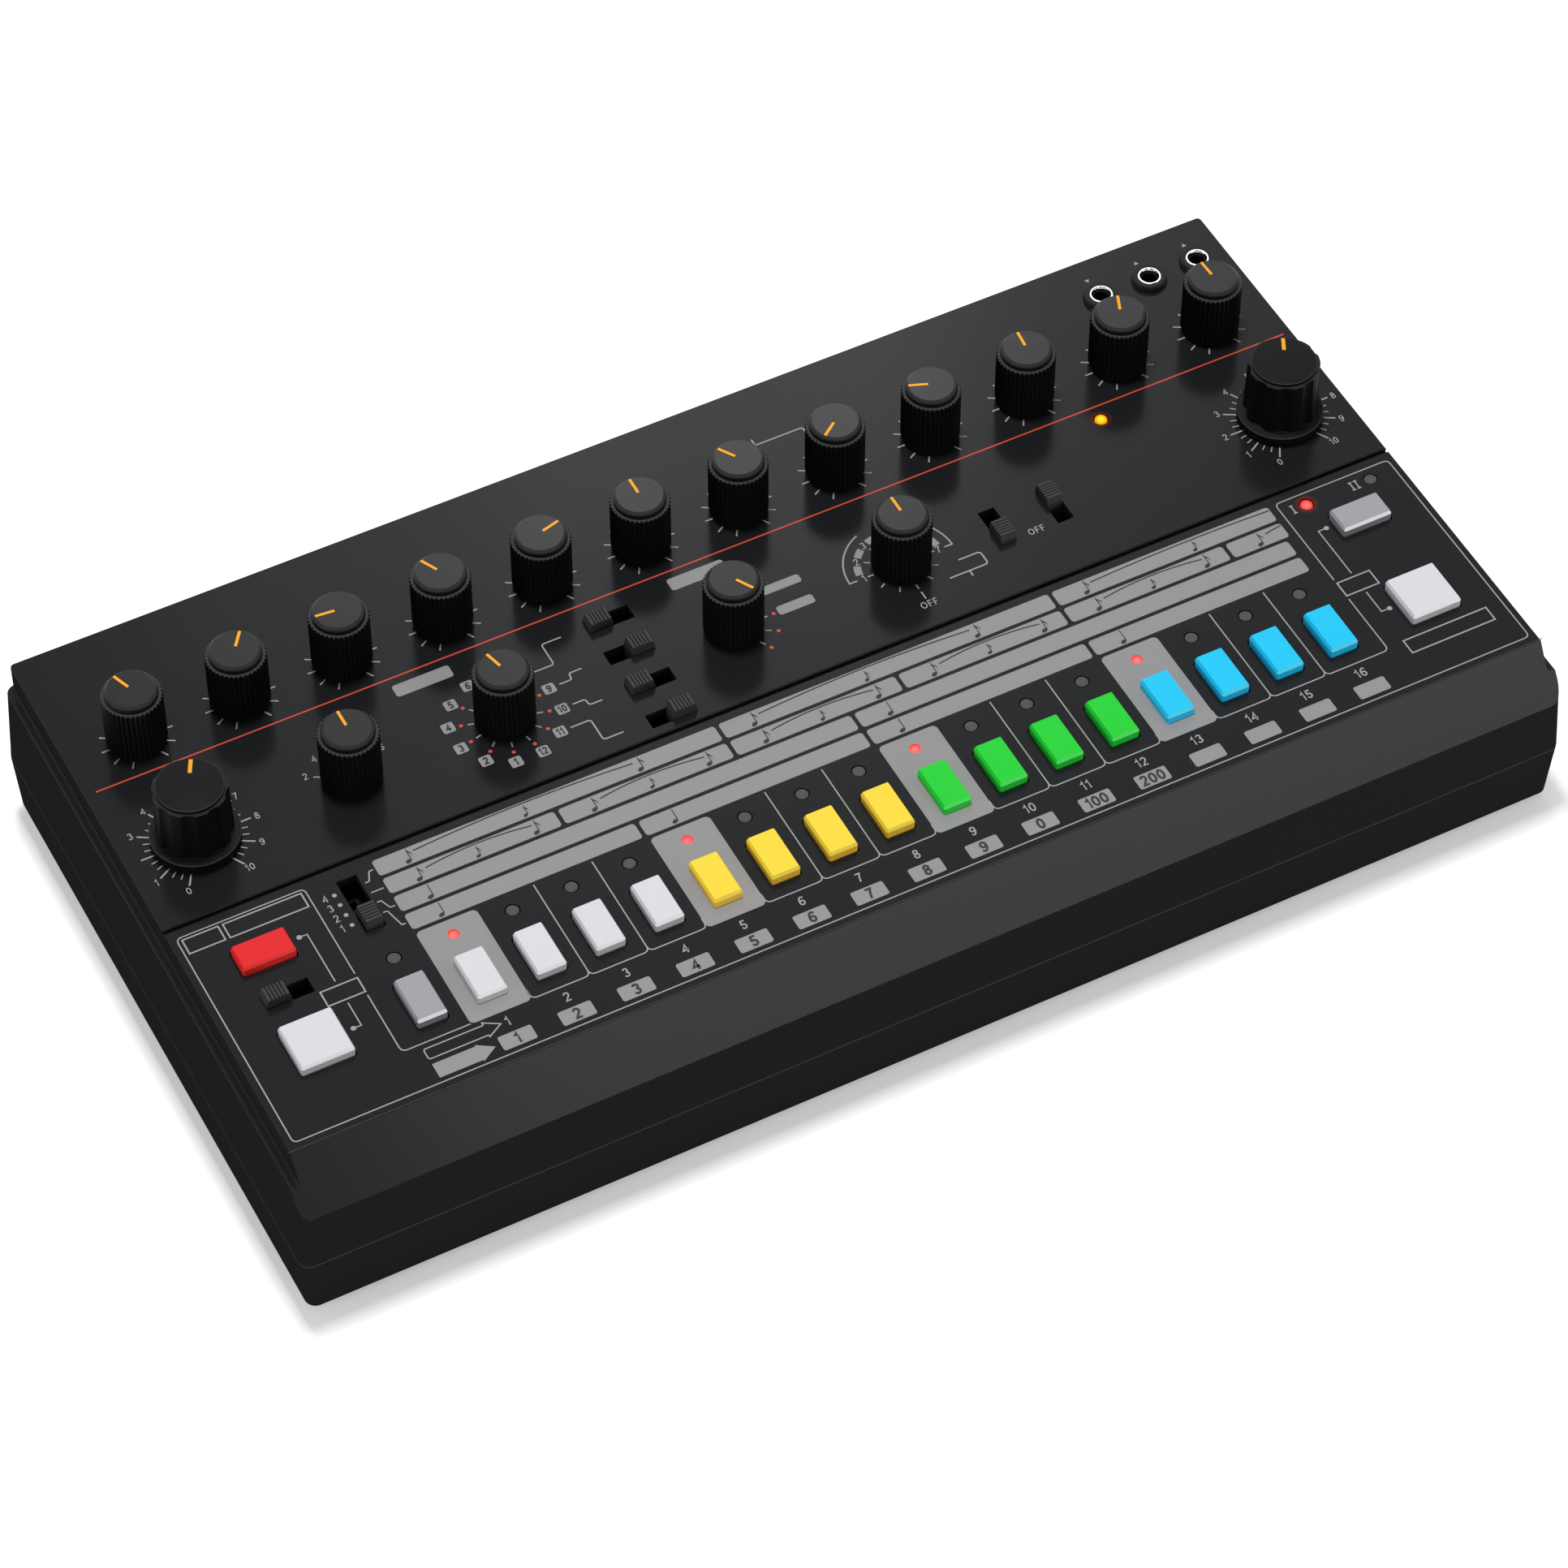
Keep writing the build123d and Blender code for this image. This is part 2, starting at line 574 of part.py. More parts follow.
def build_feet():
    solids = []
    rear = DECK_DEPTH - FOOT_INSET
    for x in (-DECK_HALF + FOOT_INSET, DECK_HALF - FOOT_INSET):
        for y in (FRONT_FOOT_Y, rear):
            foot = disc(x, y, FOOT_RADIUS, BASE_Z - FOOT_HEIGHT, BASE_Z)
            edge = foot.edges().group_by(Axis.Z)[0]
            solids.append(chamfer(edge, FOOT_HEIGHT / 4))
    return solids


def build_case_screws():
    solids = []
    seat = BASE_Z + CASE_SCREW_SINK
    for x, y in CASE_SCREWS:
        screw = disc(x, y, CASE_SCREW_HEAD, seat - CASE_SCREW_HEAD_HEIGHT, seat)
        screw = screw + disc(x, y, CASE_SCREW_SHANK, seat - 0.5, seat + CASE_SCREW_LENGTH)
        for turn in (0, 90):
            slot = Rot(0, 0, turn) * Box(CASE_SCREW_HEAD * 1.2, 0.9, 1.6)
            screw = screw - Pos(x, y, seat - CASE_SCREW_HEAD_HEIGHT) * slot
        solids.append(screw)
    return solids


def board_screw(x, y, seat, way):
    """A board screw whose head sits at seat, its shank pointing up (way 1) or down (-1)."""
    head = (seat - BOARD_SCREW_HEAD_HEIGHT, seat) if way > 0 else (seat,
                                                                  seat + BOARD_SCREW_HEAD_HEIGHT)
    shank = (seat - 0.2, seat + BOARD_SCREW_LENGTH)
    if way < 0:
        shank = (seat - BOARD_SCREW_LENGTH, seat + 0.2)
    return disc(x, y, BOARD_SCREW_HEAD, *head) + disc(x, y, BOARD_SCREW_SHANK, *shank)


def build_board_screws():
    solids = []
    for x, y in POSTS:
        solids.append(board_screw(x, y, BOARD_Z - BOARD_THICKNESS, 1))
    for x, y in REAR_SCREWS:
        solids.append(board_screw(x, y, REAR_BOARD_Z, -1))
    return solids


def build_boards():
    half = DECK_HALF - WALL - BOARD_EDGE_GAP
    rear = DECK_DEPTH - WALL - BOARD_EDGE_GAP
    control = block(-half, half, BOARD_FRONT_Y, rear, BOARD_Z - BOARD_THICKNESS, BOARD_Z)
    low = REAR_BOARD_Z - BOARD_THICKNESS
    connector = block(REAR_BOARD_LEFT, REAR_BOARD_RIGHT, REAR_BOARD_FRONT, REAR_BOARD_REAR, low,
                      REAR_BOARD_Z)
    for x, y in CASE_SCREWS:
        passage = disc(x, y, CASE_BOSS_RADIUS + 1.2, BASE_Z, 0)
        control = control - passage
        connector = connector - passage
    hole = BOARD_SCREW_SHANK + BOARD_HOLE_CLEARANCE
    for x, y in POSTS:
        control = control - disc(x, y, hole, BOARD_Z - 5, BOARD_Z + 5)
    for x, y in REAR_SCREWS:
        connector = connector - disc(x, y, hole, low - 1, REAR_BOARD_Z + 1)
    return [control, connector]


def build_rotary_bodies():
    solids = []
    sizes = [(POT_LENGTH, POT_DEPTH)] * len(LEVELS) + [(ROTARY_SIDE, ROTARY_SIDE)] * len(SELECTORS)
    sizes += [(BIG_POT_SIDE, BIG_POT_SIDE)] * len(BIG_KNOBS)
    bore = SPINDLE_RADIUS + RUNNING
    for size, place in zip(sizes, LEVELS + SELECTORS + BIG_KNOBS):
        name, x, y, angle = place
        body = prism(x, y, size[0], size[1], BOARD_Z, BOARD_Z + POT_HEIGHT)
        body = body + disc(x, y, bore + BUSHING_WALL, BOARD_Z, -WALL - BUSHING_GAP)
        body = body - disc(x, y, bore, BOARD_Z + POT_FLOOR, 0)
        solids.append(body)
    return solids


def spindle_section(radius, extra):
    flat = SPINDLE_RADIUS - SPINDLE_FLAT + extra
    return Circle(radius) - Pos(0, flat + radius, 0) * Rectangle(4 * radius, 2 * radius)


def spindle(top):
    """Round below, with a flat along the part that the knob grips."""
    grip = top - SPINDLE_GRIP
    body = disc(0, 0, SPINDLE_RADIUS, BOARD_Z + POT_FLOOR, grip)
    return body + Pos(0, 0, grip) * extrude(spindle_section(SPINDLE_RADIUS, 0), top - grip)


def spindle_bore(top, mouth):
    section = spindle_section(SPINDLE_RADIUS + RUNNING, RUNNING)
    grip = top - SPINDLE_GRIP
    bore = Pos(0, 0, grip) * extrude(section, top - grip)
    return bore + disc(0, 0, SPINDLE_RADIUS + RUNNING, mouth - 1, grip)


def ribbed_section():
    points = []
    for number in range(2 * RIB_COUNT):
        radius = RIB_RADIUS if number % 2 == 0 else RIB_RADIUS - RIB_DEEP
        angle = math.pi * number / RIB_COUNT
        points.append((radius * math.sin(angle), radius * math.cos(angle)))
    return make_face(Polyline(*points, close=True))


RIBS = ribbed_section()


def build_small_knob(x, y, angle):
    body = Pos(0, 0, KNOB_LIFT) * extrude(RIBS, RIB_TOP - KNOB_LIFT)
    plug = turned([(0, KNOB_LIFT + 1), (PLUG_RADIUS, KNOB_LIFT + 1), (PLUG_RADIUS, PLUG_TOP),
                   (CAP_RADIUS, KNOB_TOP - CAP_BEVEL), (CAP_RADIUS - CAP_BEVEL, KNOB_TOP),
                   (0, KNOB_TOP)])
    body = body + plug
    top = RIB_TOP - 2 * KNOB_HUB_WALL
    hub = SPINDLE_RADIUS + KNOB_HUB_WALL
    shell = PLUG_RADIUS - KNOB_HUB_WALL / 4
    body = body - (disc(0, 0, shell, KNOB_LIFT - 1, top) - disc(0, 0, hub, KNOB_LIFT - 2, top + 1))
    body = body - spindle_bore(top, KNOB_LIFT)
    half = POINTER_WIDTH / 2
    body = body - block(-half, half, POINTER_INNER, CAP_RADIUS + 1, KNOB_TOP - POINTER_DEEP,
                        KNOB_TOP + 1)
    place = Pos(x, y, 0) * Rot(0, 0, -angle)
    return [place * body, place * spindle(top)]


def dome(radius, rise, base):
    """Solid cap of a sphere over a flat base."""
    sphere = (radius * radius + rise * rise) / (2 * rise)
    ball = Pos(0, 0, base + rise - sphere) * Sphere(sphere)
    return ball & disc(0, 0, radius + 1, base, base + rise + 1)


def build_big_knob(x, y, angle):
    skirt = turned([(0, BIG_LIFT), (BIG_SKIRT_RADIUS - 0.2, BIG_LIFT),
                    (BIG_SKIRT_RADIUS, BIG_LIFT + 0.6), (BIG_SKIRT_RADIUS, BIG_SKIRT_TOP - 0.2),
                    (BIG_SKIRT_RADIUS - 0.2, BIG_SKIRT_TOP), (0, BIG_SKIRT_TOP)])
    grip = turned([(0, BIG_LIFT + 0.5), (BIG_BASE_RADIUS, BIG_LIFT + 0.5),
                   (BIG_SHOULDER_RADIUS, BIG_SHOULDER_TOP), (0, BIG_SHOULDER_TOP)])
    away = BIG_SHOULDER_RADIUS - BIG_FLUTE_DEEP + BIG_FLUTE_RADIUS
    for number in range(BIG_FLUTES):
        turn = 360 * (number + 0.5) / BIG_FLUTES
        flute = disc(0, away, BIG_FLUTE_RADIUS, BIG_LIFT, BIG_SHOULDER_TOP + 1)
        grip = grip - Rot(0, 0, turn) * flute
    body = skirt + grip + disc(0, 0, BIG_RIM_RADIUS, BIG_SHOULDER_TOP - 1, BIG_RIM_TOP)
    body = body + dome(BIG_RIM_RADIUS, BIG_DOME_RISE, BIG_RIM_TOP)
    top = BIG_SHOULDER_TOP - 2 * KNOB_HUB_WALL
    hub = SPINDLE_RADIUS + KNOB_HUB_WALL
    shell = BIG_RIM_RADIUS - KNOB_HUB_WALL
    body = body - (disc(0, 0, shell, BIG_LIFT - 1, top) - disc(0, 0, hub, BIG_LIFT - 2, top + 1))
    body = body - spindle_bore(top, BIG_LIFT)
    half = BIG_POINTER_WIDTH / 2
    body = body - block(-half, half, BIG_POINTER_INNER, BIG_RIM_RADIUS + 1,
                        BIG_RIM_TOP - POINTER_DEEP, BIG_RIM_TOP + BIG_DOME_RISE + 1)
    place = Pos(x, y, 0) * Rot(0, 0, -angle)
    return [place * body, place * spindle(top)]


STEM_END_Z = BOARD_Z + TACT_HEIGHT - STEM_ENTRY


def build_button(x, y, length, depth):
    low = -WALL - SEAT_GAP - FLANGE_THICKNESS / 2
    cap = crowned(x, y, length, depth, low, KEY_RISE, KEY_ROUND, KEY_BEVEL_RUN, KEY_BEVEL_DROP)
    lap = 2 * (KEY_CLEARANCE + FLANGE_LAP)
    high = -WALL - SEAT_GAP
    flange = prism(x, y, length + lap, depth + lap, high - FLANGE_THICKNESS, high, KEY_ROUND)
    stem = disc(x, y, STEM_RADIUS, STEM_END_Z, high - FLANGE_THICKNESS / 2)
    return cap + flange + stem


def build_tact_switches():
    solids = []
    top = BOARD_Z + TACT_HEIGHT
    for name, x, y, length, depth in BUTTONS:
        body = prism(x, y, TACT_SIDE, TACT_SIDE, BOARD_Z, top)
        floor = STEM_END_Z - KEY_TRAVEL - STOP_GAP
        solids.append(body - disc(x, y, STEM_RADIUS + LOOSE, floor, top + 1))
    return solids


def turn_to(way):
    """Travel along X as drawn, or turned so that it runs along Y."""
    return Rot(0, 0, 90) if way == "Y" else Rot(0, 0, 0)


def build_slider(slider):
    name, x, y, way, travel, rest, end_gap, side_gap = slider
    half = SLIDER_LENGTH / 2
    crown = half - SLIDER_TAPER
    low = BOARD_Z + SLIDE_BODY_HEIGHT + SLIDE_CAP_GAP
    outline = [(-half, low), (-half, SLIDER_SHOULDER), (-crown, SLIDER_RISE), (crown, SLIDER_RISE),
               (half, SLIDER_SHOULDER), (half, low)]
    face = make_face(Plane.XZ * Polyline(*outline, close=True))
    cap = extrude(face, SLIDER_WIDTH / 2, both=True)
    pitch = 2 * crown / SLIDER_RIDGES
    for number in range(1, SLIDER_RIDGES):
        at = -crown + number * pitch
        notch = make_face(Plane.XZ * Polyline(
            (at - pitch / 3, SLIDER_RISE + 0.1), (at + pitch / 3, SLIDER_RISE + 0.1),
            (at, SLIDER_RISE - SLIDER_RIDGE_DEEP), close=True))
        cap = cap - extrude(notch, SLIDER_WIDTH, both=True)
    end = BOARD_Z + SLIDE_BODY_HEIGHT - LEVER_ENTRY
    cap = cap + prism(0, 0, LEVER_LENGTH, LEVER_WIDTH, end, low + 0.5)
    return Pos(x, y, 0) * turn_to(way) * Pos((rest - 0.5) * travel, 0, 0) * cap


def build_slide_bodies():
    solids = []
    top = BOARD_Z + SLIDE_BODY_HEIGHT
    for name, x, y, way, travel, rest, end_gap, side_gap in SLIDERS:
        length = LEVER_LENGTH + travel + 2 * LOOSE
        width = LEVER_WIDTH + 2 * LOOSE
        wall = 2 * SLIDE_BODY_WALL
        body = prism(0, 0, length + wall, width + wall, BOARD_Z, top)
        body = body - prism(0, 0, length, width, top - LEVER_ENTRY - STOP_GAP, top + 1)
        solids.append(Pos(x, y, 0) * turn_to(way) * body)
    return solids


def build_lights():
    solids = []
    for x, y, rise in LIGHTS:
        body = disc(0, 0, LENS_RADIUS + LIGHT_BASE_EXTRA, BOARD_Z, -LIGHT_BASE_DROP)
        body = body + disc(0, 0, LENS_RADIUS, BOARD_Z + 1, 0)
        body = body + dome(LENS_RADIUS, rise, 0)
        solids.append(Pos(x, y, 0) * body)
    return solids


def build_mini_jacks():
    solids = []
    for x, y in JACKS:
        body = prism(x, y, JACK_BODY_LENGTH, JACK_BODY_DEPTH, BOARD_Z, -WALL)
        body = body + disc(x, y, JACK_BUSHING, BOARD_Z, JACK_BUSHING_RISE)
        body = body - disc(x, y, JACK_BORE, BOARD_Z + JACK_BORE_FLOOR, JACK_BUSHING_RISE + 1)
        inner = JACK_BUSHING + RUNNING
        slim = JACK_COLLAR - JACK_COLLAR_TAPER
        collar = turned([(inner, 0), (JACK_COLLAR, 0), (slim, JACK_COLLAR_RISE),
                         (inner, JACK_COLLAR_RISE)])
        solids += [body, Pos(x, y, 0) * collar]
    return solids


def build_rear_sockets():
    face = PARTING_REAR - REAR_FACE_INSET
    root = PARTING_REAR - NOSE_ROOT_INSET
    low = REAR_BOARD_Z
    supply, data, round_a, round_b, line, phones = rear_noses(0)
    half = SUPPLY_SIDE / 2
    z = rear_axis(SUPPLY_SIDE)
    deep = face - SUPPLY_DEEP
    supply = supply + block(SUPPLY_X - half, SUPPLY_X + half, deep - SOCKET_WALL, root, low,
                            low + SUPPLY_SIDE)
    supply = supply - rod(SUPPLY_X, z, SUPPLY_HOLE, deep, face + 1)
    supply = supply + rod(SUPPLY_X, z, SUPPLY_PIN, deep - 0.5, face - 1)
    half = DATA_WIDTH / 2
    z = rear_axis(DATA_HEIGHT)
    deep = face - DATA_DEEP
    data = data + block(DATA_X - half, DATA_X + half, deep - SOCKET_WALL, root, low,
                        low + DATA_HEIGHT)
    wide = half - DATA_WALL
    tall = DATA_HEIGHT / 2 - DATA_WALL
    data = data - block(DATA_X - wide, DATA_X + wide, deep, face + 1, z - tall, z + tall)
    data = data + block(DATA_X - wide / 2, DATA_X + wide / 2, deep - 0.5, face - 1, z - tall / 2,
                        z + tall / 2)
    solids = [supply, data]
    half = ROUND_SIDE / 2
    z = rear_axis(ROUND_SIDE)
    for x, nose in zip(ROUND_X, (round_a, round_b)):
        deep = face - ROUND_DEEP
        body = nose + block(x - half, x + half, deep - SOCKET_WALL, root, low, low + ROUND_SIDE)
        solids.append(body - rod(x, z, ROUND_RECESS, deep, face + 1))
        solids.append(rod(x, z, ROUND_CORE, deep, face - ROUND_CORE_SINK))
    for x, side, bore, deep, nose in ((LINE_X, LINE_SIDE, LINE_BORE, LINE_DEEP, line),
                                      (PHONES_X, PHONES_SIDE, PHONES_BORE, PHONES_DEEP, phones)):
        body = nose + block(x - side / 2, x + side / 2, face - deep - SOCKET_WALL, root, low,
                            low + side)
        solids.append(body - rod(x, rear_axis(side), bore, face - deep, face + 1))
    z = rear_axis(POWER_BODY_SIDE)
    half = POWER_BODY_SIDE / 2
    front = power_body_face()
    body = block(POWER_X - half, POWER_X + half, front - POWER_BODY_DEPTH, front, low,
                 low + POWER_BODY_SIDE)
    pocket = POWER_STEM_LENGTH - POWER_BODY_GAP + STOP_GAP
    solids.append(body - rod(POWER_X, z, POWER_STEM_RADIUS + LOOSE, front - pocket, front + 1))
    return solids


def power_body_face():
    return PARTING_REAR - POWER_BUTTON_ROOT - POWER_TRAVEL - POWER_BODY_GAP


def build_power_button():
    half = POWER_BUTTON_SIDE / 2
    z = rear_axis(POWER_BODY_SIDE)
    root = PARTING_REAR - POWER_BUTTON_ROOT
    cap = block(POWER_X - half, POWER_X + half, root, PARTING_REAR, z - half, z + half)
    cap = chamfer(cap.faces().sort_by(Axis.Y)[-1].edges(), POWER_CHAMFER)
    return cap + rod(POWER_X, z, POWER_STEM_RADIUS, root - POWER_STEM_LENGTH, root + 0.5)


def write(name, solids):
    if not isinstance(solids, list):
        solids = [solids]
    bodies = []
    for item in solids:
        bodies += [PLACE * solid for solid in item.solids()]
    export_step(Compound(children=bodies), f"parts/{name}.step")
    print(name, len(bodies))


def main():
    os.makedirs("parts", exist_ok=True)
    write("upper_case", build_upper_case())
    write("lower_case", build_lower_case())
    write("rubber_feet", build_feet())
    write("case_screws", build_case_screws())
    write("board_screws", build_board_screws())
    write("circuit_boards", build_boards())
    write("rotary_control_bodies", build_rotary_bodies())
    write("slide_switch_bodies", build_slide_bodies())
    write("tact_switches", build_tact_switches())
    write("status_lights", build_lights())
    write("mini_jacks", build_mini_jacks())
    write("rear_sockets", build_rear_sockets())
    write("power_switch_button", build_power_button())
    for name, x, y, angle in LEVELS + SELECTORS:
        write(name, build_small_knob(x, y, angle))
    for name, x, y, angle in BIG_KNOBS:
        write(name, build_big_knob(x, y, angle))
    for name, x, y, length, depth in BUTTONS:
        write(name, build_button(x, y, length, depth))
    for slider in SLIDERS:
        write(slider[0], build_slider(slider))


if __name__ == "__main__":
    main()
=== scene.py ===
"""Looks of the desktop drum machine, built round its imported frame.

Prints, lenses, pointers and connector trim are laid out in millimetres in the deck's own
directions (X from the middle, Y rearward from the front crease, Z up from the deck) and
turned into the frame's metres by deck().
"""
import json
import math

import bmesh
import bpy
from mathutils import Matrix, Vector


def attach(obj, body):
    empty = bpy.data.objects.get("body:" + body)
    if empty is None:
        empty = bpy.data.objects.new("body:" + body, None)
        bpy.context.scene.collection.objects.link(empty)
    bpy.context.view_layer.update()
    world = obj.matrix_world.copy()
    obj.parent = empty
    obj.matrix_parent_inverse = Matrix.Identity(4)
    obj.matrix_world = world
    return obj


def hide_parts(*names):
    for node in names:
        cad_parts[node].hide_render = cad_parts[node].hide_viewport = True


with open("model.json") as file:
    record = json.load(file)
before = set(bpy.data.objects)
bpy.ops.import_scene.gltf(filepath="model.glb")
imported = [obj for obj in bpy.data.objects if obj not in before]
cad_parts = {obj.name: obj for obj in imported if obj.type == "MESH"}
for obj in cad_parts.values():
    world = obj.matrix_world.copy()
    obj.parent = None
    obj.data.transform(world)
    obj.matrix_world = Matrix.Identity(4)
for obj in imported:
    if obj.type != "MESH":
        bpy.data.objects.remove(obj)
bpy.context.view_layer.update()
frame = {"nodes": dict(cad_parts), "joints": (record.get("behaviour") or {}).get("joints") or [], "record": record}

MM = 0.001
NODES = frame["nodes"]
AXES = {joint["child"]: joint["pos_m"] for joint in frame["joints"] if joint["type"] == "hinge"}
MOUNTS = {mount["name"]: Vector(mount["pos_m"]) for mount in frame["record"]["mounts"]}
REAR_FACE = MOUNTS["supply_inlet"].y

# ---- deck ----
LEVEL_ROW_Y = 115.6
DECK_ORIGIN = Vector((0, AXES["level_knob_01"][1] - LEVEL_ROW_Y * MM, AXES["level_knob_01"][2]))
STEP_ZERO_X = -109.87
STEP_PITCH = 13.734
STEPS = 16

# ---- ink ----
INK_LOW = 0.004
INK_THICK = 0.03
INK_LAYER = 0.002
FINE = 0.29
ROUND_STEPS = 6
FIGURE_WEIGHT = 0.13
FIGURE_GAP = 0.16

# ---- knobs ----
CAP_TOP = 16.75
RIB_TOP = 15.05
BIG_SKIRT_TOP = 3.0
BIG_SHOULDER_TOP = 17.15
CAP_RADIUS = 5.66
CAP_BEVEL = 0.5
POINTER_WIDTH = 0.67
POINTER_INNER = 0.75
POINTER_PROUD = 0.03
BIG_POINTER_WIDTH = 0.86
BIG_POINTER_INNER = 2.75
BIG_POINTER_OUTER = 6.95
SLOT_WIDTH = 0.86
SLOT_INNER = 1.02
SLOT_SINK = 0.24
BIG_SLOT_WIDTH = 1.06
BIG_SLOT_INNER = 3.92
BIG_RIM_RADIUS = 7.35
BIG_RIM_TOP = 17.95
BIG_DOME_RISE = 0.8

# ---- lights ----
LENS_RADIUS = 1.44
LENS_DOME = 0.2
LENS_BASE = 1.9
LENS_BASE_TOP = -3.2
LENS_RINGS = 9
LENS_CORE_SHIFT = (-0.16, -0.32)
BOARD_TOP = -12.0
LIGHT_ROW_Y = 35.8
PATTERN_LIGHTS = (125.1, 141.75)
PATTERN_LIGHT_Y = 58.15
TEMPO_LIGHT = (97.36, 102.1)
TEMPO_LIGHT_RISE = 0.6
LIT_STEPS = (1, 5, 9, 13)
HALO_RADIUS = 2.8
HALO_SHARE = 0.8

# ---- connectors ----
JACK_XS = (116.28, 129.05, 141.82)
JACK_Y = 135.36
JACK_BORE = 1.8
JACK_BUSHING = 2.7
JACK_BUSHING_RISE = 1.6
JACK_COLLAR = 4.2
JACK_COLLAR_TAPER = 0.4
JACK_COLLAR_RISE = 1.5
JACK_BODY_LENGTH = 9.0
JACK_BODY_DEPTH = 10.4


def deck(x, y, z=0.0):
    """Place in the frame of a spot on the deck, or z millimetres over it."""
    return DECK_ORIGIN + Vector((x, y, z)) * MM


def step_x(number):
    return STEP_ZERO_X + number * STEP_PITCH


def srgb(red, green, blue):
    """Linear colour from the 0 to 255 values that a screen shows."""
    def linear(value):
        share = value / 255
        return share / 12.92 if share <= 0.04045 else ((share + 0.055) / 1.055) ** 2.4
    return (linear(red), linear(green), linear(blue), 1.0)


LIT_PLACES = [(step_x(number), LIGHT_ROW_Y) for number in LIT_STEPS]
LIT_PLACES.append((PATTERN_LIGHTS[0], PATTERN_LIGHT_Y))


# ---- materials ----
BAND_SOFT = 0.05
ROUGHNESS_PLAY = 0.04


def inside(material):
    return material.node_tree, material.node_tree.nodes["Principled BSDF"]


def new_material(name):
    """Empty material with its node tree and its shader."""
    material = bpy.data.materials.new(name)
    material.use_nodes = True
    return (material, *inside(material))


def node(tree, kind, **values):
    made = tree.nodes.new(kind)
    for name, value in values.items():
        setattr(made, name, value)
    return made


def fix(made, **values):
    """Sets inputs of a node, an underscore standing for each space in their names."""
    for name, value in values.items():
        made.inputs[name.replace("_", " ")].default_value = value


def noise(tree, size, detail=3.0, seed=0.0):
    """Noise whose features are about size millimetres wide, fixed to the piece."""
    place = node(tree, "ShaderNodeTexCoord")
    texture = node(tree, "ShaderNodeTexNoise", noise_dimensions="4D")
    fix(texture, W=seed, Scale=1 / (size * MM), Detail=detail)
    tree.links.new(place.outputs["Object"], texture.inputs["Vector"])
    return texture.outputs["Fac"]


def spread(tree, source, low, high, start=0.3, end=0.7):
    """Takes a value from the range start to end into the range low to high."""
    ramp = node(tree, "ShaderNodeMapRange")
    fix(ramp, From_Min=start, From_Max=end, To_Min=low, To_Max=high)
    tree.links.new(source, ramp.inputs["Value"])
    return ramp.outputs["Result"]


def blended(tree, factor, first, second):
    """Mix of two colours, each given as values or as a socket."""
    mix = node(tree, "ShaderNodeMix", data_type="RGBA")
    tree.links.new(factor, mix.inputs["Factor"])
    for value, name in ((first, "A"), (second, "B")):
        socket = [s for s in mix.inputs if s.name == name and s.type == "RGBA"][0]
        if isinstance(value, tuple):
            socket.default_value = value
        else:
            tree.links.new(value, socket)
    return [s for s in mix.outputs if s.type == "RGBA"][0]


def tinted(colour, share):
    return tuple(min(1.0, value * share) for value in colour[:3]) + (1.0,)


def surface(name, colour, roughness, metallic=0.0, specular=0.25, mottle=0.05, mottle_size=9.0,
            grain=0.06, grain_size=0.25, bump=0.25, bump_size=0.12, height=0.012, seed=0.0):
    """Moulded or plated surface: slow mottling, fine grain and a shallow grained relief."""
    material, tree, shader = new_material(name)
    colour = srgb(*colour)
    slow = noise(tree, mottle_size, 3.0, seed)
    fine = noise(tree, grain_size, 2.0, seed + 1)
    wide = blended(tree, spread(tree, slow, 0, 1), tinted(colour, 1 - mottle),
                   tinted(colour, 1 + mottle))
    dark = blended(tree, spread(tree, fine, 0, 1), tinted(colour, 1 - grain),
                   tinted(colour, 1 + grain))
    half = spread(tree, noise(tree, mottle_size / 3, 2.0, seed + 2), 0.35, 0.65)
    tree.links.new(blended(tree, half, wide, dark), shader.inputs["Base Color"])
    tree.links.new(spread(tree, slow, roughness - ROUGHNESS_PLAY, roughness + ROUGHNESS_PLAY),
                   shader.inputs["Roughness"])
    relief = node(tree, "ShaderNodeBump")
    fix(relief, Strength=bump, Distance=height * MM)
    tree.links.new(noise(tree, bump_size, 2.0, seed + 3), relief.inputs["Height"])
    tree.links.new(relief.outputs["Normal"], shader.inputs["Normal"])
    fix(shader, Metallic=metallic, Specular_IOR_Level=0.5 if metallic else specular)
    return material


def facing(tree, start, end, way="Z"):
    """From 0 to 1 as the share of a face's direction along one axis goes from start to end."""
    geometry = node(tree, "ShaderNodeNewGeometry")
    split = node(tree, "ShaderNodeSeparateXYZ")
    tree.links.new(geometry.outputs["Normal"], split.inputs["Vector"])
    return spread(tree, split.outputs[way], 0, 1, start, end)


def above(tree, low, high):
    """From 0 below one height over the deck to 1 above another."""
    place = node(tree, "ShaderNodeTexCoord")
    split = node(tree, "ShaderNodeSeparateXYZ")
    tree.links.new(place.outputs["Object"], split.inputs["Vector"])
    return spread(tree, split.outputs["Z"], 0, 1, deck(0, 0, low).z, deck(0, 0, high).z)


def combined(tree, operation, first, second):
    made = node(tree, "ShaderNodeMath", operation=operation)
    for value, socket in zip((first, second), made.inputs):
        if isinstance(value, float):
            socket.default_value = value
        else:
            tree.links.new(value, socket)
    return made.outputs[0]


def product(tree, first, second):
    return combined(tree, "MULTIPLY", first, second)


def seen_or_mirrored(tree):
    """1 for rays from the camera and for those that a gloss or a lens passes on."""
    rays = node(tree, "ShaderNodeLightPath")
    seen = rays.outputs["Is Camera Ray"]
    for name in ("Is Glossy Ray", "Is Transmission Ray"):
        seen = combined(tree, "MAXIMUM", seen, rays.outputs[name])
    return seen


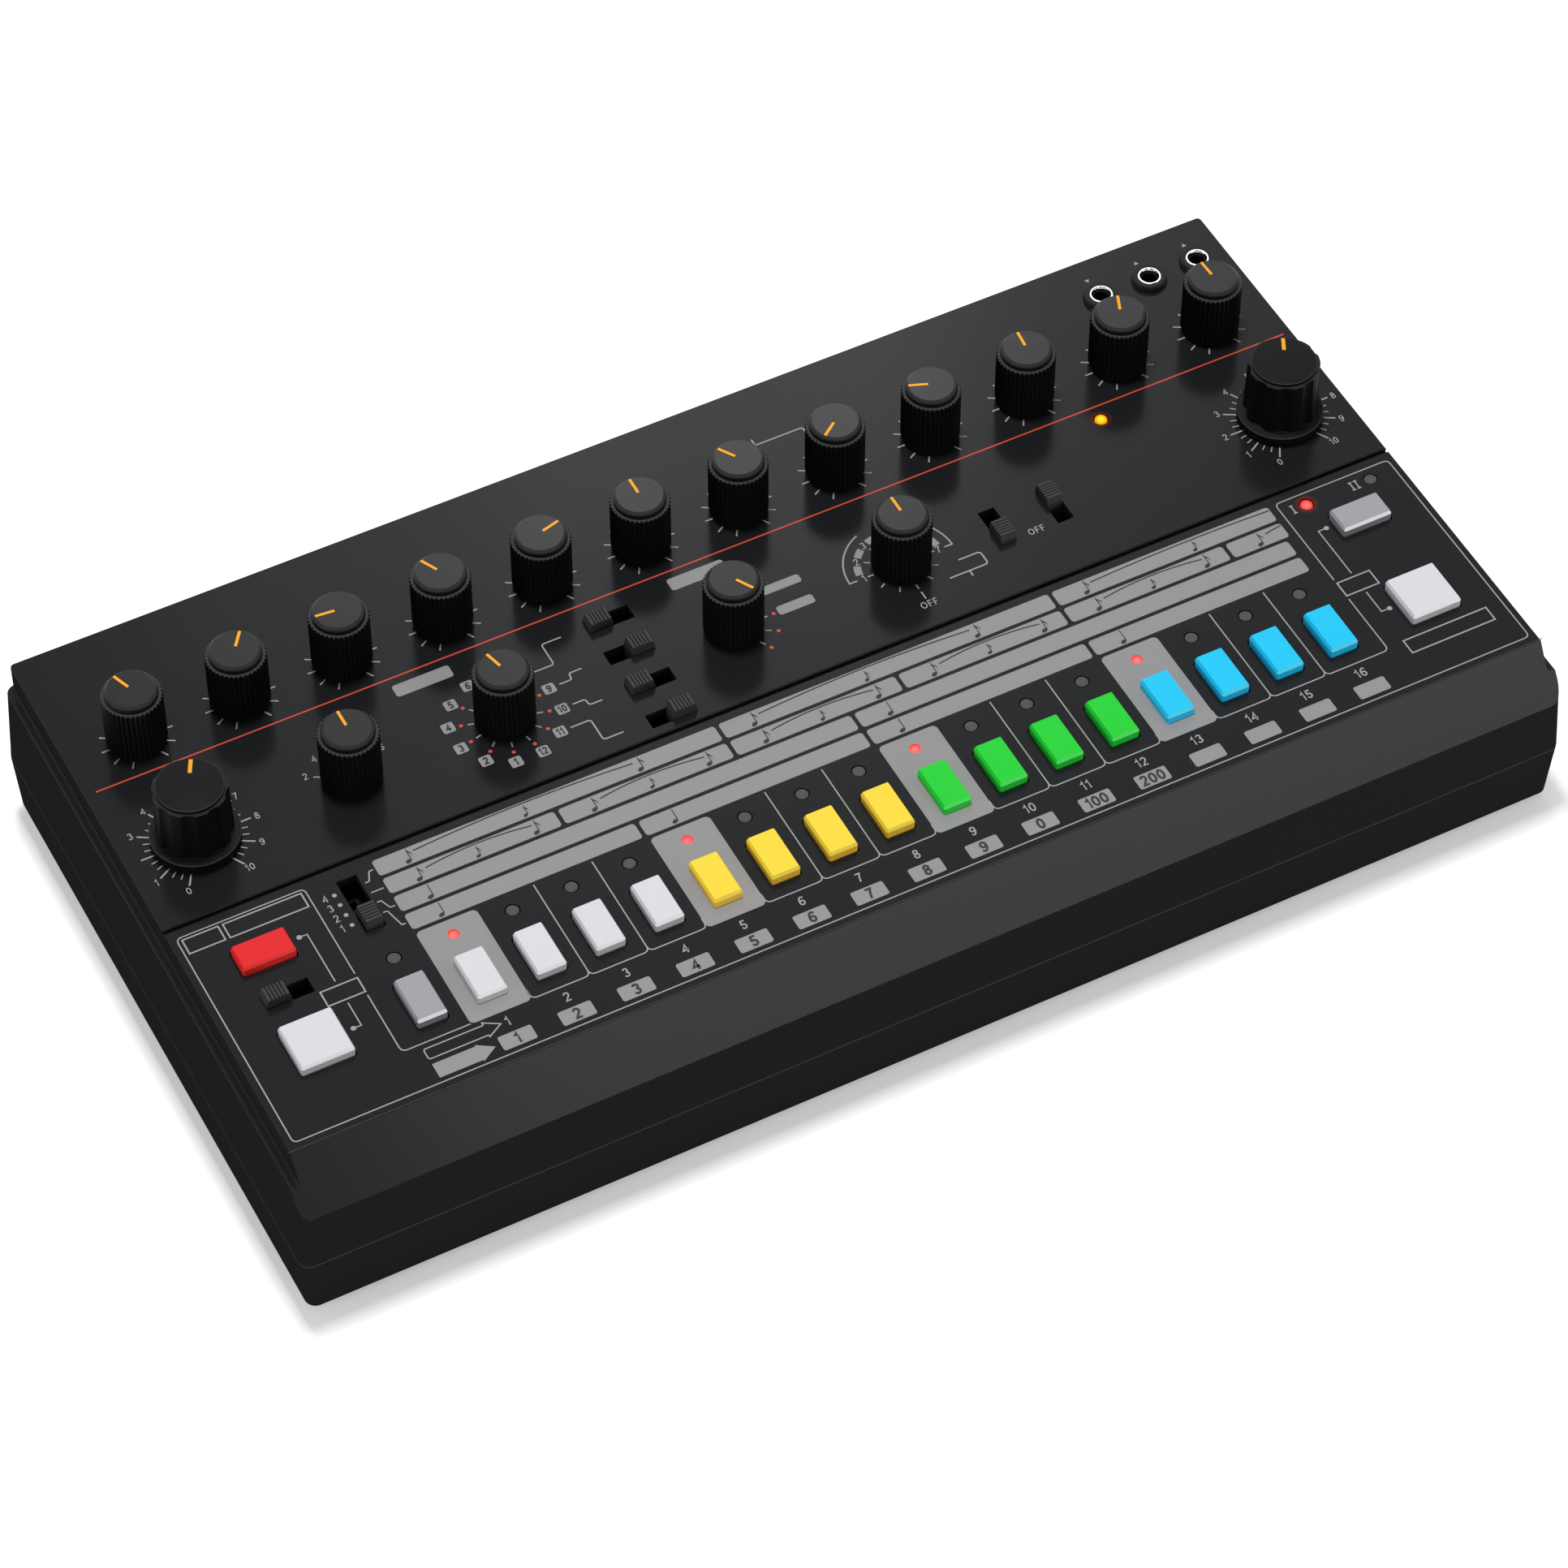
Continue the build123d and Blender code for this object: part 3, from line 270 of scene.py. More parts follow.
def recolour(material, mask, colour):
    """Lays a colour over a material where the mask is 1."""
    tree, shader = inside(material)
    under = shader.inputs["Base Color"].links[0].from_socket
    tree.links.new(blended(tree, mask, under, srgb(*colour)), shader.inputs["Base Color"])


def banded(material, low, high, colour):
    """Painted highlight line round a piece between two heights, where a moulded edge would catch light."""
    tree = material.node_tree
    below = combined(tree, "SUBTRACT", 1.0, above(tree, high, high + BAND_SOFT))
    recolour(material, product(tree, above(tree, low - BAND_SOFT, low), below), colour)


def lacquered(material, mask, ior, roughness):
    """Satin lacquer over a material where the mask is 1."""
    tree, shader = inside(material)
    tree.links.new(mask, shader.inputs["Coat Weight"])
    fix(shader, Coat_IOR=ior, Coat_Roughness=roughness)


def glowing(name, core, rim, strength, roughness=0.55):
    """Lens lit from inside: bright where the mesh's glow attribute is 1."""
    material, tree, shader = new_material(name)
    glow = node(tree, "ShaderNodeAttribute", attribute_name="glow")
    wave = spread(tree, noise(tree, 0.5, 2.0), 0.9, 1.0)
    colour = blended(tree, product(tree, glow.outputs["Fac"], wave), srgb(*rim), srgb(*core))
    tree.links.new(colour, shader.inputs["Base Color"])
    tree.links.new(colour, shader.inputs["Emission Color"])
    fix(shader, Emission_Strength=strength, Roughness=roughness, Specular_IOR_Level=0.1)
    return material


DECK_GREY = (29, 30, 32)
WALL_GREY = (38, 39, 41)
# Painted highlight along the lower case's upward faces at the parting line.
PARTING_HIGHLIGHT_GREY = (72, 73, 75)
# Painted glow on the deck round the lit lenses.
PAINTED_RED_GLOW = (120, 30, 30)
PAINTED_AMBER_GLOW = (104, 44, 18)
# Painted highlight on the small knobs' rib ends.
RIB_END_HIGHLIGHT = (62, 62, 63)
# Painted highlight on the small knobs' cap bevels.
BEVEL_HIGHLIGHT_GREY = (44, 45, 46)
CAP_GREY = (21, 22, 23)
DOME_GREY = (30, 31, 32)
MATERIALS = {
    "case": surface("case_plastic_grain", DECK_GREY, 0.6, specular=0.0, mottle=0.03, grain=0.05,
                    bump=0.12),
    "base": surface("base_plastic_grain", WALL_GREY, 0.6, specular=0.0, mottle=0.04, seed=4),
    "rubber": surface("foot_rubber_grain", (20, 20, 21), 0.8, specular=0.1, bump=0.5,
                      seed=5),
    "screw": surface("screw_plating", (150, 150, 155), 0.32, metallic=1.0, seed=6),
    "board": surface("board_mask", (22, 84, 52), 0.35, mottle=0.12, seed=7),
    "control": surface("control_plating", (150, 150, 148), 0.4, metallic=1.0, seed=8),
    "switch": surface("switch_moulding", (16, 16, 17), 0.55, specular=0.1, seed=9),
    "socket": surface("socket_moulding", (34, 34, 36), 0.5, seed=10),
    "chrome": surface("bushing_chrome", (215, 216, 220), 0.12, metallic=1.0, mottle=0.02,
                      grain=0.02, bump=0.03, seed=11),
    "gold": surface("contact_gold", (214, 176, 96), 0.25, metallic=1.0, seed=12),
    "collar": surface("collar_moulding", (36, 37, 39), 0.4, specular=0.08, seed=13),
    "slider": surface("slider_moulding", (56, 56, 57), 0.45, specular=0.15, grain=0.08,
                      seed=14),
    "amber": surface("pointer_amber", (250, 168, 22), 0.4, mottle=0.03, seed=16),
    "light_ink": surface("light_ink", (160, 160, 160), 0.5, mottle=0.03, grain=0.05,
                         bump=0.2, bump_size=0.2, seed=17),
    "panel_ink": surface("panel_ink", (145, 145, 145), 0.5, mottle=0.02, grain=0.04,
                         bump=0.2, bump_size=0.2, seed=18),
    "dark_ink": surface("dark_ink", (36, 36, 38), 0.5, mottle=0.03, seed=19),
    # Painted highlight line along the deck's front crease.
    "crease_highlight_paint": surface("crease_highlight_paint", (60, 61, 63), 0.5, specular=0.1, mottle=0.03, seed=30),
    "red_ink": surface("red_ink", (208, 72, 52), 0.45, mottle=0.04, seed=20),
    "off_lens": surface("off_lens_tint", (84, 84, 84), 0.6, specular=0.1, mottle=0.08,
                        mottle_size=1.0, bump=0.05, seed=21),
    "lit_lens": glowing("lit_lens_glow", (250, 118, 108), (214, 26, 32), 0.85),
    "amber_lens": glowing("amber_lens_glow", (246, 206, 30), (222, 122, 8), 0.85),
}


def haloed(material, places, colour):
    """Faint painted glow on the deck round the lit lenses."""
    tree = material.node_tree
    for x, y in places:
        place = node(tree, "ShaderNodeTexCoord")
        away = node(tree, "ShaderNodeVectorMath", operation="DISTANCE")
        tree.links.new(place.outputs["Object"], away.inputs[0])
        away.inputs[1].default_value = deck(x, y)
        recolour(material, spread(tree, away.outputs["Value"], HALO_SHARE, 0,
                                  LENS_RADIUS * MM, HALO_RADIUS * MM), colour)


def finish_case():
    """Lacquered upper faces over plain walls, which are painted a lighter grey than the deck top by their facing
    as a painted light level, a painted glow round the lit lenses, and a painted highlight on the lower case's
    upward faces.
    """
    material = MATERIALS["case"]
    haloed(material, LIT_PLACES, PAINTED_RED_GLOW)
    haloed(material, [TEMPO_LIGHT], PAINTED_AMBER_GLOW)
    # Painted light level: faces that stand upright, the walls, are painted a lighter grey than the deck top.
    recolour(material, facing(material.node_tree, 0.4, 0.2), WALL_GREY)
    lacquered(material, facing(material.node_tree, 0.2, 0.4), 1.19, 0.18)
    base = MATERIALS["base"]
    # Painted highlight: the lower case's upward faces, along the parting line, are painted a lighter grey.
    recolour(base, facing(base.node_tree, 0.4, 0.6), PARTING_HIGHLIGHT_GREY)


def small_knob_finish():
    """Black ribs with painted highlights at their upper ends and a painted highlight on the cap's bevel, under a
    satin grey cap.
    """
    material = surface("small_knob_moulding", (14, 14, 15), 0.45, specular=0.08, grain=0.08,
                       seed=22)
    tree = material.node_tree
    # Painted highlight: a light band round the upper ends of the ribs.
    banded(material, RIB_TOP - 0.3, RIB_TOP, RIB_END_HIGHLIGHT)
    # Painted highlight: the cap's bevel faces, found by height and facing, are painted a lighter grey.
    high = above(tree, CAP_TOP - CAP_BEVEL - 0.1, CAP_TOP - CAP_BEVEL)
    recolour(material, product(tree, high, facing(tree, 0.5, 0.6)), BEVEL_HIGHLIGHT_GREY)
    cap = product(tree, high, facing(tree, 0.85, 0.95))
    recolour(material, cap, CAP_GREY)
    lacquered(material, cap, 1.24, 0.17)
    return material


def big_knob_finish():
    """Black fluted body with painted highlight lines at its mouldings, under a satin domed cap."""
    material = surface("big_knob_moulding", (13, 13, 14), 0.5, specular=0.03, grain=0.05,
                       seed=15)
    # Painted highlights: thin light lines at the skirt, the shoulder and the dome's rim, where moulded edges would
    # catch light.
    for low, high, highlight_grey in ((BIG_SKIRT_TOP - 0.24, BIG_SKIRT_TOP - 0.06, 58),
                             (BIG_SKIRT_TOP + 0.02, BIG_SKIRT_TOP + 0.22, 46),
                             (BIG_SHOULDER_TOP - 0.16, BIG_SHOULDER_TOP - 0.02, 58),
                             (BIG_RIM_TOP - 0.12, BIG_RIM_TOP + 0.02, 64)):
        banded(material, low, high, (highlight_grey, highlight_grey, highlight_grey))
    tree = material.node_tree
    dome = product(tree, above(tree, BIG_RIM_TOP, BIG_RIM_TOP + 0.05), facing(tree, 0.8, 0.9))
    recolour(material, dome, DOME_GREY)
    return material


finish_case()
MATERIALS["small_knob"] = small_knob_finish()
MATERIALS["big_knob"] = big_knob_finish()

# Each key's colours: its top, its front bevel, painted lighter as a painted highlight, and its walls, painted in
# their own tone as a painted light level.
KEYS = {
    "key_red": ((230, 39, 43), (255, 62, 58), (255, 56, 52)),
    "key_white": ((219, 220, 225), (255, 255, 255), (206, 206, 210)),
    "key_grey": ((162, 161, 167), (250, 250, 252), (136, 136, 140)),
    "key_yellow": ((253, 221, 66), (255, 226, 84), (255, 204, 66)),
    "key_green": ((36, 209, 56), (84, 240, 104), (40, 214, 60)),
    "key_blue": ((34, 202, 249), (90, 226, 255), (40, 200, 255)),
}


def key_finish(name, top, bevel, wall, seed):
    """Satin key with painted light: its front bevel, which catches more light than its top, is painted lighter,
    and its walls, which catch less, are painted in their own tone.
    """
    material = surface(name + "_moulding", top, 0.38, specular=0.14, mottle=0.02,
                       grain=0.02, bump=0.12, seed=seed)
    tree = material.node_tree
    # Painted highlight on the front bevel, and a painted light level on the walls, both picked by facing.
    front = product(tree, facing(tree, 0.9, 0.75), facing(tree, -0.3, -0.5, "Y"))
    recolour(material, front, bevel)
    recolour(material, facing(tree, 0.25, 0.1), wall)
    return material


for number, (name, colours) in enumerate(KEYS.items()):
    MATERIALS[name] = key_finish(name, *colours, 23 + number)


def paint(obj, material):
    """Gives a piece one material in every slot it has."""
    if not obj.data.materials:
        obj.data.materials.append(material)
    for slot in obj.material_slots:
        slot.material = material


def paint_frame():
    """Finish of every construction node that stays in view."""
    plain = {
        "upper_case": "case", "lower_case": "base", "rubber_feet": "rubber",
        "case_screws": "screw", "board_screws": "screw", "circuit_boards": "board",
        "rotary_control_bodies": "control", "slide_switch_bodies": "switch",
        "tact_switches": "switch", "rear_sockets": "socket", "power_switch_button": "slider",
    }
    for part in frame["record"]["subparts"]:
        name, slot = part["node"], part["material_slot"]
        key = plain.get(name)
        if slot == "knob_plastic":
            key = "big_knob" if name in ("tempo_knob", "volume_knob") else "small_knob"
        elif slot == "slider_plastic":
            key = "slider"
        elif slot in KEYS:
            key = slot
        if key:
            paint(NODES[name], MATERIALS[key])


# ---- meshes ----
SHARP_ANGLE = math.radians(32)


def linked(name, data):
    """Puts an object with its data into the scene."""
    obj = bpy.data.objects.new(name, data)
    bpy.context.scene.collection.objects.link(obj)
    return obj


def placed(name, mesh):
    """Puts a finished mesh into the scene."""
    data = bpy.data.meshes.new(name)
    mesh.to_mesh(data)
    mesh.free()
    return linked(name, data)


def piece(name, mesh, material, body, smooth=False):
    """Makes a piece of a finished mesh, paints it and lets it ride on a body."""
    bmesh.ops.recalc_face_normals(mesh, faces=mesh.faces)
    obj = placed(name, mesh)
    for face in obj.data.polygons:
        face.use_smooth = smooth
    if smooth:
        obj.data.set_sharp_from_angle(angle=SHARP_ANGLE)
    paint(obj, MATERIALS[material])
    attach(obj, body)
    return obj


def skin(mesh, loops, capped=False):
    """Joins loops of points, each to the next, and closes their ends where asked."""
    for lower, upper in zip(loops, loops[1:]):
        for number, corner in enumerate(lower):
            after = (number + 1) % len(lower)
            mesh.faces.new((corner, lower[after], upper[after], upper[number]))
    if capped:
        mesh.faces.new(loops[0])
        mesh.faces.new(loops[-1])


def arc(x, y, radius, start, end, steps, tall=None):
    """Points of an arc, from angle start to end in degrees clockwise from the rear."""
    tall = radius if tall is None else tall
    points = []
    for number in range(steps + 1):
        angle = math.radians(start + (end - start) * number / steps)
        points.append((x + radius * math.sin(angle), y + tall * math.cos(angle)))
    return points


def polar(centre, radius, angle):
    """Point at a radius from a centre, its angle in degrees clockwise from the rear."""
    turn = math.radians(angle)
    return (centre[0] + radius * math.sin(turn), centre[1] + radius * math.cos(turn))


def rounded(points, radius):
    """The same line with its inner corners rounded."""
    made = [points[0]]
    for before, corner, after in zip(points, points[1:], points[2:]):
        a = Vector(before) - Vector(corner)
        b = Vector(after) - Vector(corner)
        half = a.angle(b) / 2
        reach = min(radius / math.tan(half), a.length * 0.5, b.length * 0.5)
        start = Vector(corner) + a.normalized() * reach
        end = Vector(corner) + b.normalized() * reach
        for number in range(ROUND_STEPS + 1):
            share = number / ROUND_STEPS
            bend = (start * (1 - share) ** 2 + Vector(corner) * 2 * share * (1 - share)
                    + end * share ** 2)
            made.append((bend.x, bend.y))
    made.append(points[-1])
    return made


def rounded_box(x0, x1, y0, y1, radius):
    points = []
    for x, y, start in ((x1 - radius, y1 - radius, 0), (x1 - radius, y0 + radius, 90),
                        (x0 + radius, y0 + radius, 180), (x0 + radius, y1 - radius, 270)):
        points += arc(x, y, radius, start, start + 90, ROUND_STEPS)
    return points


class Ink:
    """Flat print on the deck, or a painted highlight line on it, gathered as faces and then given its thickness.
    """

    def __init__(self, level=0):
        self.mesh = bmesh.new()
        self.low = INK_LOW + level * INK_THICK
        self.count = 0

    def height(self):
        """Next height of a shape, so that shapes that cross don't share a plane."""
        self.count += 1
        return self.low + self.count % 7 * INK_LAYER

    def fill(self, points):
        z = self.height()
        self.mesh.faces.new([self.mesh.verts.new(deck(x, y, z)) for x, y in points])

    def line(self, points, width=FINE, closed=False):
        """Line of one width through the points."""
        z = self.height()
        spots = [Vector(point) for point in points]
        pairs = []
        last = len(spots) - 1
        for number, spot in enumerate(spots):
            before = spots[number - 1] if number or closed else None
            after = spots[(number + 1) % len(spots)] if number < last or closed else None
            ways = []
            if before is not None:
                ways.append((spot - before).normalized())
            if after is not None:
                ways.append((after - spot).normalized())
            way = sum(ways, Vector((0, 0))).normalized()
            side = Vector((-way.y, way.x))
            wide = width / 2 / max(0.5, abs(way.dot(ways[0])))
            left, right = spot + side * wide, spot - side * wide
            pairs.append([self.mesh.verts.new(deck(p.x, p.y, z)) for p in (left, right)])
        ends = pairs[1:] + pairs[:1] if closed else pairs[1:]
        for (a, b), (c, d) in zip(pairs, ends):
            self.mesh.faces.new((a, b, d, c))

    def box(self, x0, x1, y0, y1, radius):
        self.fill(rounded_box(x0, x1, y0, y1, radius))

    def dot(self, x, y, radius):
        self.fill(arc(x, y, radius, 0, 360, 20)[:-1])

    def ticks(self, centre, angles, inner, outer, width):
        for angle in angles:
            self.line([polar(centre, inner, angle), polar(centre, outer, angle)], width)

    def figures(self, text, x, y, height, weight=FIGURE_WEIGHT, wide=1.0):
        """Plain figures or letters centred on a place."""
        advance = [GLYPHS[letter][0] * wide for letter in text]
        at = x - height * (sum(advance) + FIGURE_GAP * (len(text) - 1)) / 2
        for letter, step in zip(text, advance):
            for stroke, closed in GLYPHS[letter][1]:
                spots = [(at + px * wide * height, y + (py - 0.5) * height)
                         for px, py in stroke]
                self.line(spots, weight * height, closed)
            at += (step + FIGURE_GAP) * height

    def finish(self, name, material):
        """Gives all shapes their thickness and makes them one piece of the case."""
        faces = list(self.mesh.faces)
        bmesh.ops.recalc_face_normals(self.mesh, faces=faces)
        made = bmesh.ops.extrude_face_region(self.mesh, geom=faces, use_keep_orig=True)
        top = [item for item in made["geom"] if isinstance(item, bmesh.types.BMVert)]
        bmesh.ops.translate(self.mesh, verts=top, vec=(0, 0, INK_THICK * MM))
        return piece(name, self.mesh, material, "case")


# ---- figures ----
def curve(x, y, wide, tall, start, end, steps=10):
    """Part of an oval, its angles in degrees clockwise from the top."""
    return arc(x, y, wide, start, end, steps, tall)


def ring(x, y, wide, tall, end=342, steps=19):
    """Stroke that closes on itself."""
    return (curve(x, y, wide, tall, 0, end, steps), True)


# Each figure's width, then its strokes: points in a square one high, and whether they close.
GLYPHS = {
    "0": (0.56, [ring(0.28, 0.5, 0.22, 0.43)]),
    "1": (0.36, [([(0.02, 0.74), (0.2, 0.8), (0.27, 1.0), (0.27, 0.0)], False)]),
    "2": (0.56, [(curve(0.28, 0.7, 0.21, 0.23, -80, 118) + [(0.08, 0.07), (0.53, 0.07)],
                  False)]),
    "3": (0.56, [(curve(0.27, 0.72, 0.19, 0.21, -70, 180), False),
                 (curve(0.27, 0.29, 0.22, 0.22, 0, 250), False)]),
    "4": (0.6, [([(0.42, 0.0), (0.42, 0.92), (0.06, 0.3), (0.58, 0.3)], False)]),
    "5": (0.56, [([(0.5, 0.93), (0.15, 0.93), (0.1, 0.48)], False),
                 (curve(0.27, 0.32, 0.22, 0.25, -50, 250), False)]),
    "6": (0.56, [ring(0.29, 0.31, 0.21, 0.24),
                 (curve(0.36, 0.4, 0.28, 0.53, 40, -100), False)]),
    "7": (0.54, [([(0.03, 0.93), (0.48, 0.93), (0.3, 0.5), (0.2, 0.0)], False)]),
    "8": (0.56, [ring(0.28, 0.73, 0.18, 0.2), ring(0.28, 0.29, 0.22, 0.22)]),
    "9": (0.56, [ring(0.27, 0.69, 0.21, 0.24),
                 (curve(0.2, 0.6, 0.28, 0.53, 220, 80), False)]),
    "O": (0.76, [ring(0.38, 0.5, 0.31, 0.43, 345, 23)]),
    "F": (0.54, [([(0.1, 0.0), (0.1, 0.93), (0.52, 0.93)], False),
                 ([(0.1, 0.5), (0.46, 0.5)], False)]),
    "I": (0.36, [([(0.18, 0.05), (0.18, 0.95)], False), ([(0.0, 0.05), (0.36, 0.05)], False),
                ([(0.0, 0.95), (0.36, 0.95)], False)]),
}

# ---- dial print ----
# Ticks are given as inner reach, outer reach and width.
FIGURE = 1.85
SWEEP = range(-150, 151, 30)
MINOR_SWEEP = [angle for angle in range(-150, 150, 10) if (angle + 150) % 30]
EVERY_HOUR = range(-180, 180, 30)
BETWEEN_HOURS = range(-165, 180, 30)
LEVEL_TICKS = (6.4, 8.28, 0.35)
BIG_TICKS = (9.6, 12.7, 0.37)
BIG_MINOR_TICKS = (9.7, 11.3, 0.27)
BIG_FIGURE_REACH = 14.1
SELECTOR_TICKS = (6.9, 8.3, 0.33)
MEASURES = (("2", -60), ("4", -30), ("8", 0), ("12", 30), ("16", 60))
MEASURE_REACH = 10.1
DOT_RADIUS = 0.45
TRACK_BOX = 1.42
TRACK_BOX_REACH = 12.55
TRACK_DOT_REACH = 9.75
MODE_ANGLES = (60, 90, 120, 150)
MODE_DOT_REACH = 9.85
LINK_WIDTH = 0.36


def dial(name):
    """Place on the deck of a knob's axis."""
    spot = (Vector(AXES[name]) - DECK_ORIGIN) / MM
    return (spot.x, spot.y)


def print_dials(light, red, panels, dark):
    """Ticks and figures round the knobs."""
    for name in AXES:
        if name.startswith("level_knob"):
            light.ticks(dial(name), SWEEP, *LEVEL_TICKS)
    for name, left_out in (("tempo_knob", (2,)), ("volume_knob", ())):
        light.ticks(dial(name), SWEEP, *BIG_TICKS)
        light.ticks(dial(name), MINOR_SWEEP, *BIG_MINOR_TICKS)
        for number, angle in enumerate(SWEEP):
            if number not in left_out:
                light.figures(str(number), *polar(dial(name), BIG_FIGURE_REACH, angle), FIGURE)
    centre = dial("measure_selector_knob")
    for text, angle in MEASURES:
        light.figures(text, *polar(centre, MEASURE_REACH, angle), FIGURE)
        light.ticks(centre, [angle], *SELECTOR_TICKS)
    centre = dial("track_selector_knob")
    light.ticks(centre, BETWEEN_HOURS, *SELECTOR_TICKS)
    for number, angle in enumerate(BETWEEN_HOURS):
        red.dot(*polar(centre, TRACK_DOT_REACH, angle), DOT_RADIUS)
        x, y = polar(centre, TRACK_BOX_REACH, angle)
        panels.box(x - TRACK_BOX, x + TRACK_BOX, y - TRACK_BOX, y + TRACK_BOX, 0.5)
        dark.figures(str(number + 1), x, y, 1.9, 0.2, 0.9)
    centre = dial("mode_selector_knob")
    light.ticks(centre, MODE_ANGLES, *SELECTOR_TICKS)
    for angle in MODE_ANGLES:
        red.dot(*polar(centre, MODE_DOT_REACH, angle), DOT_RADIUS)
    print_fill_dial(light, panels)


def print_fill_dial(light, panels):
    """Ticks, figures, blank plates and the bracket round the fill selector."""
    x, y = centre = dial("fill_selector_knob")
    light.ticks(centre, EVERY_HOUR, *SELECTOR_TICKS)
    for number, angle in enumerate(range(-90, 91, 30)):
        reach = 9.3 if abs(angle) == 90 else 9.95
        light.figures(str(number + 1), *polar(centre, reach, angle), 2.0)
    for angle in range(-75, 76, 30):
        outer = arc(x, y, 10.62, angle - 7.8, angle + 7.8, 4)
        inner = arc(x, y, 8.93, angle + 7.8, angle - 7.8, 4)
        panels.fill(outer + inner)
    for side in (-1, 1):
        sweep = arc(x, y, 12.85, side * 22, side * 90, 20)
        light.line(sweep + [(x + side * 10.95, y)], LINK_WIDTH)
    light.line([(x, 74.9), (x, 72.6)], 0.33)
    light.figures("OFF", x, 71.1, 1.9)
    bend = [(48.25, 79.4), (53.65, 79.4), (53.65, 75.5), (43.95, 75.5)]
    light.line(rounded(bend, 0.9), LINK_WIDTH)
    light.line([(48.9, 75.5), (48.9, 73.8)], LINK_WIDTH)


TRACK_LINKS = ((-49.35, -44.55, 93.3, 99.7), (-49.35, -44.55, 75.4, 69.05),
               (-46.05, -42.95, 87.6, 89.5), (-46.05, -42.95, 81.15, 79.3))
TRACK_LINK_END = -39.75
# Blank plates where the controls' names stand: left, right, near and far edge.
NAME_PLATES = ((-78.75, -65.15, 100.4, 103.9), (-11.95, 1.75, 100.4, 104.0),
               (5.15, 14.75, 89.9, 92.3), (5.75, 14.65, 83.1, 85.7))


def print_links(light, panels):
    """Lines that lead from one control to another, and blank plates for their names."""
    for start, x, y0, y1 in TRACK_LINKS:
        bend = [(start, y0), (x, y0), (x, y1), (TRACK_LINK_END, y1)]
        light.line(rounded(bend, 0.8), 0.34)
    light.line(rounded([(14.15, 131.07), (36.35, 131.07), (36.35, 129.5)], 0.9), LINK_WIDTH)
    light.line([(24.35, 133.0), (24.35, 131.07)], LINK_WIDTH)
    for plate in NAME_PLATES:
        panels.box(*plate, 0.7)
    light.figures("OFF", 67.95, 79.3, FIGURE)
    for x, way in zip(JACK_XS, (-1, 1, 1)):
        y = 141.65 - way * 0.5
        light.fill([(x - 0.6, y), (x + 0.6, y), (x, y + way)][::way])
    for x in (121.65, 137.55):
        light.figures("I" if x < 130 else "II", x, 58.1, 2.5)


# ---- step section print ----
LEFT_RAIL = -118.88
RIGHT_RAIL = 118.77
RAIL_END_Y = 35.8
RAIL_START_Y = 29.5
FRAME_LEFT = -148.27
FRAME_RIGHT = 148.15
FRAME_TOP_Y = 61.33
FRAME_LOW_Y = 1.87
CELL_TOP_Y = 39.9
CELL_LOW_Y = 12.74
CELL_ROUND = 1.4
CELL_BEND_Y = CELL_LOW_Y + 2 * CELL_ROUND
TILE_HALF = 7.035
TILE_LOW_Y = 12.6
TILE_TOP_Y = 39.75
BAR_START = -103.22
BAR_END = 116.87
BAR_GAP = 0.96
BAR_ROUND = 0.8
# Rows of bars: near edge, far edge and steps to a bar.
BAR_ROWS = ((57.0, 61.5, 6), (51.58, 56.05, 3), (46.14, 50.63, 8), (40.7, 45.18, 4))
TILE_STEPS = (1, 5, 9, 13)
NOTE_SHIFT = 0.05
SMALL_NOTE = 0.77
SMALL_NOTE_DROP = 0.08


def print_step_frame(light):
    """Frame round the step section and the cells that part its steps."""
    for rail, side in ((LEFT_RAIL, FRAME_LEFT), (RIGHT_RAIL, FRAME_RIGHT)):
        spots = [(rail, RAIL_END_Y), (rail, FRAME_TOP_Y), (side, FRAME_TOP_Y),
                 (side, FRAME_LOW_Y), (0, FRAME_LOW_Y)]
        light.line(rounded(spots, 1.3))
    spots = [(LEFT_RAIL, RAIL_START_Y), (LEFT_RAIL, CELL_LOW_Y),
             (step_x(1) - TILE_HALF, CELL_LOW_Y)]
    light.line(rounded(spots, CELL_ROUND))
    for first in TILE_STEPS:
        left = step_x(first) + TILE_HALF
        inner = [step_x(first + offset + 0.5) for offset in (1, 2)]
        last = step_x(first + 4) - TILE_HALF if first < 13 else RIGHT_RAIL
        for x in inner:
            light.line([(x, CELL_TOP_Y), (x, CELL_BEND_Y)])
        stops = [left] + inner + [last]
        for x0, x1 in zip(stops, stops[1:]):
            end = RAIL_START_Y if x1 == RIGHT_RAIL else CELL_BEND_Y
            spots = [(x0, CELL_BEND_Y), (x0, CELL_LOW_Y), (x1, CELL_LOW_Y), (x1, end)]
            light.line(rounded(spots, CELL_ROUND))


def print_bars(panels):
    """Bars behind the notes, and the tiles behind each group's first step."""
    for low, high, steps in BAR_ROWS:
        x0 = BAR_START
        while x0 < BAR_END - BAR_GAP:
            x1 = min(x0 + steps * STEP_PITCH - BAR_GAP, BAR_END)
            panels.box(x0, x1, low, high, BAR_ROUND)
            x0 = x1 + BAR_GAP
    for step in TILE_STEPS:
        middle = step_x(step)
        panels.box(middle - TILE_HALF, middle + TILE_HALF, TILE_LOW_Y, TILE_TOP_Y, 1.2)


def bezier(points, steps=8):
    """Points along one cubic curve, ends included."""
    a, b, c, d = (Vector(point) for point in points)
    made = []
    for number in range(steps + 1):
        t = number / steps
        spot = (a * (1 - t) ** 3 + b * 3 * t * (1 - t) ** 2 + c * 3 * t * t * (1 - t)
                + d * t ** 3)
        made.append((spot.x, spot.y))
    return made


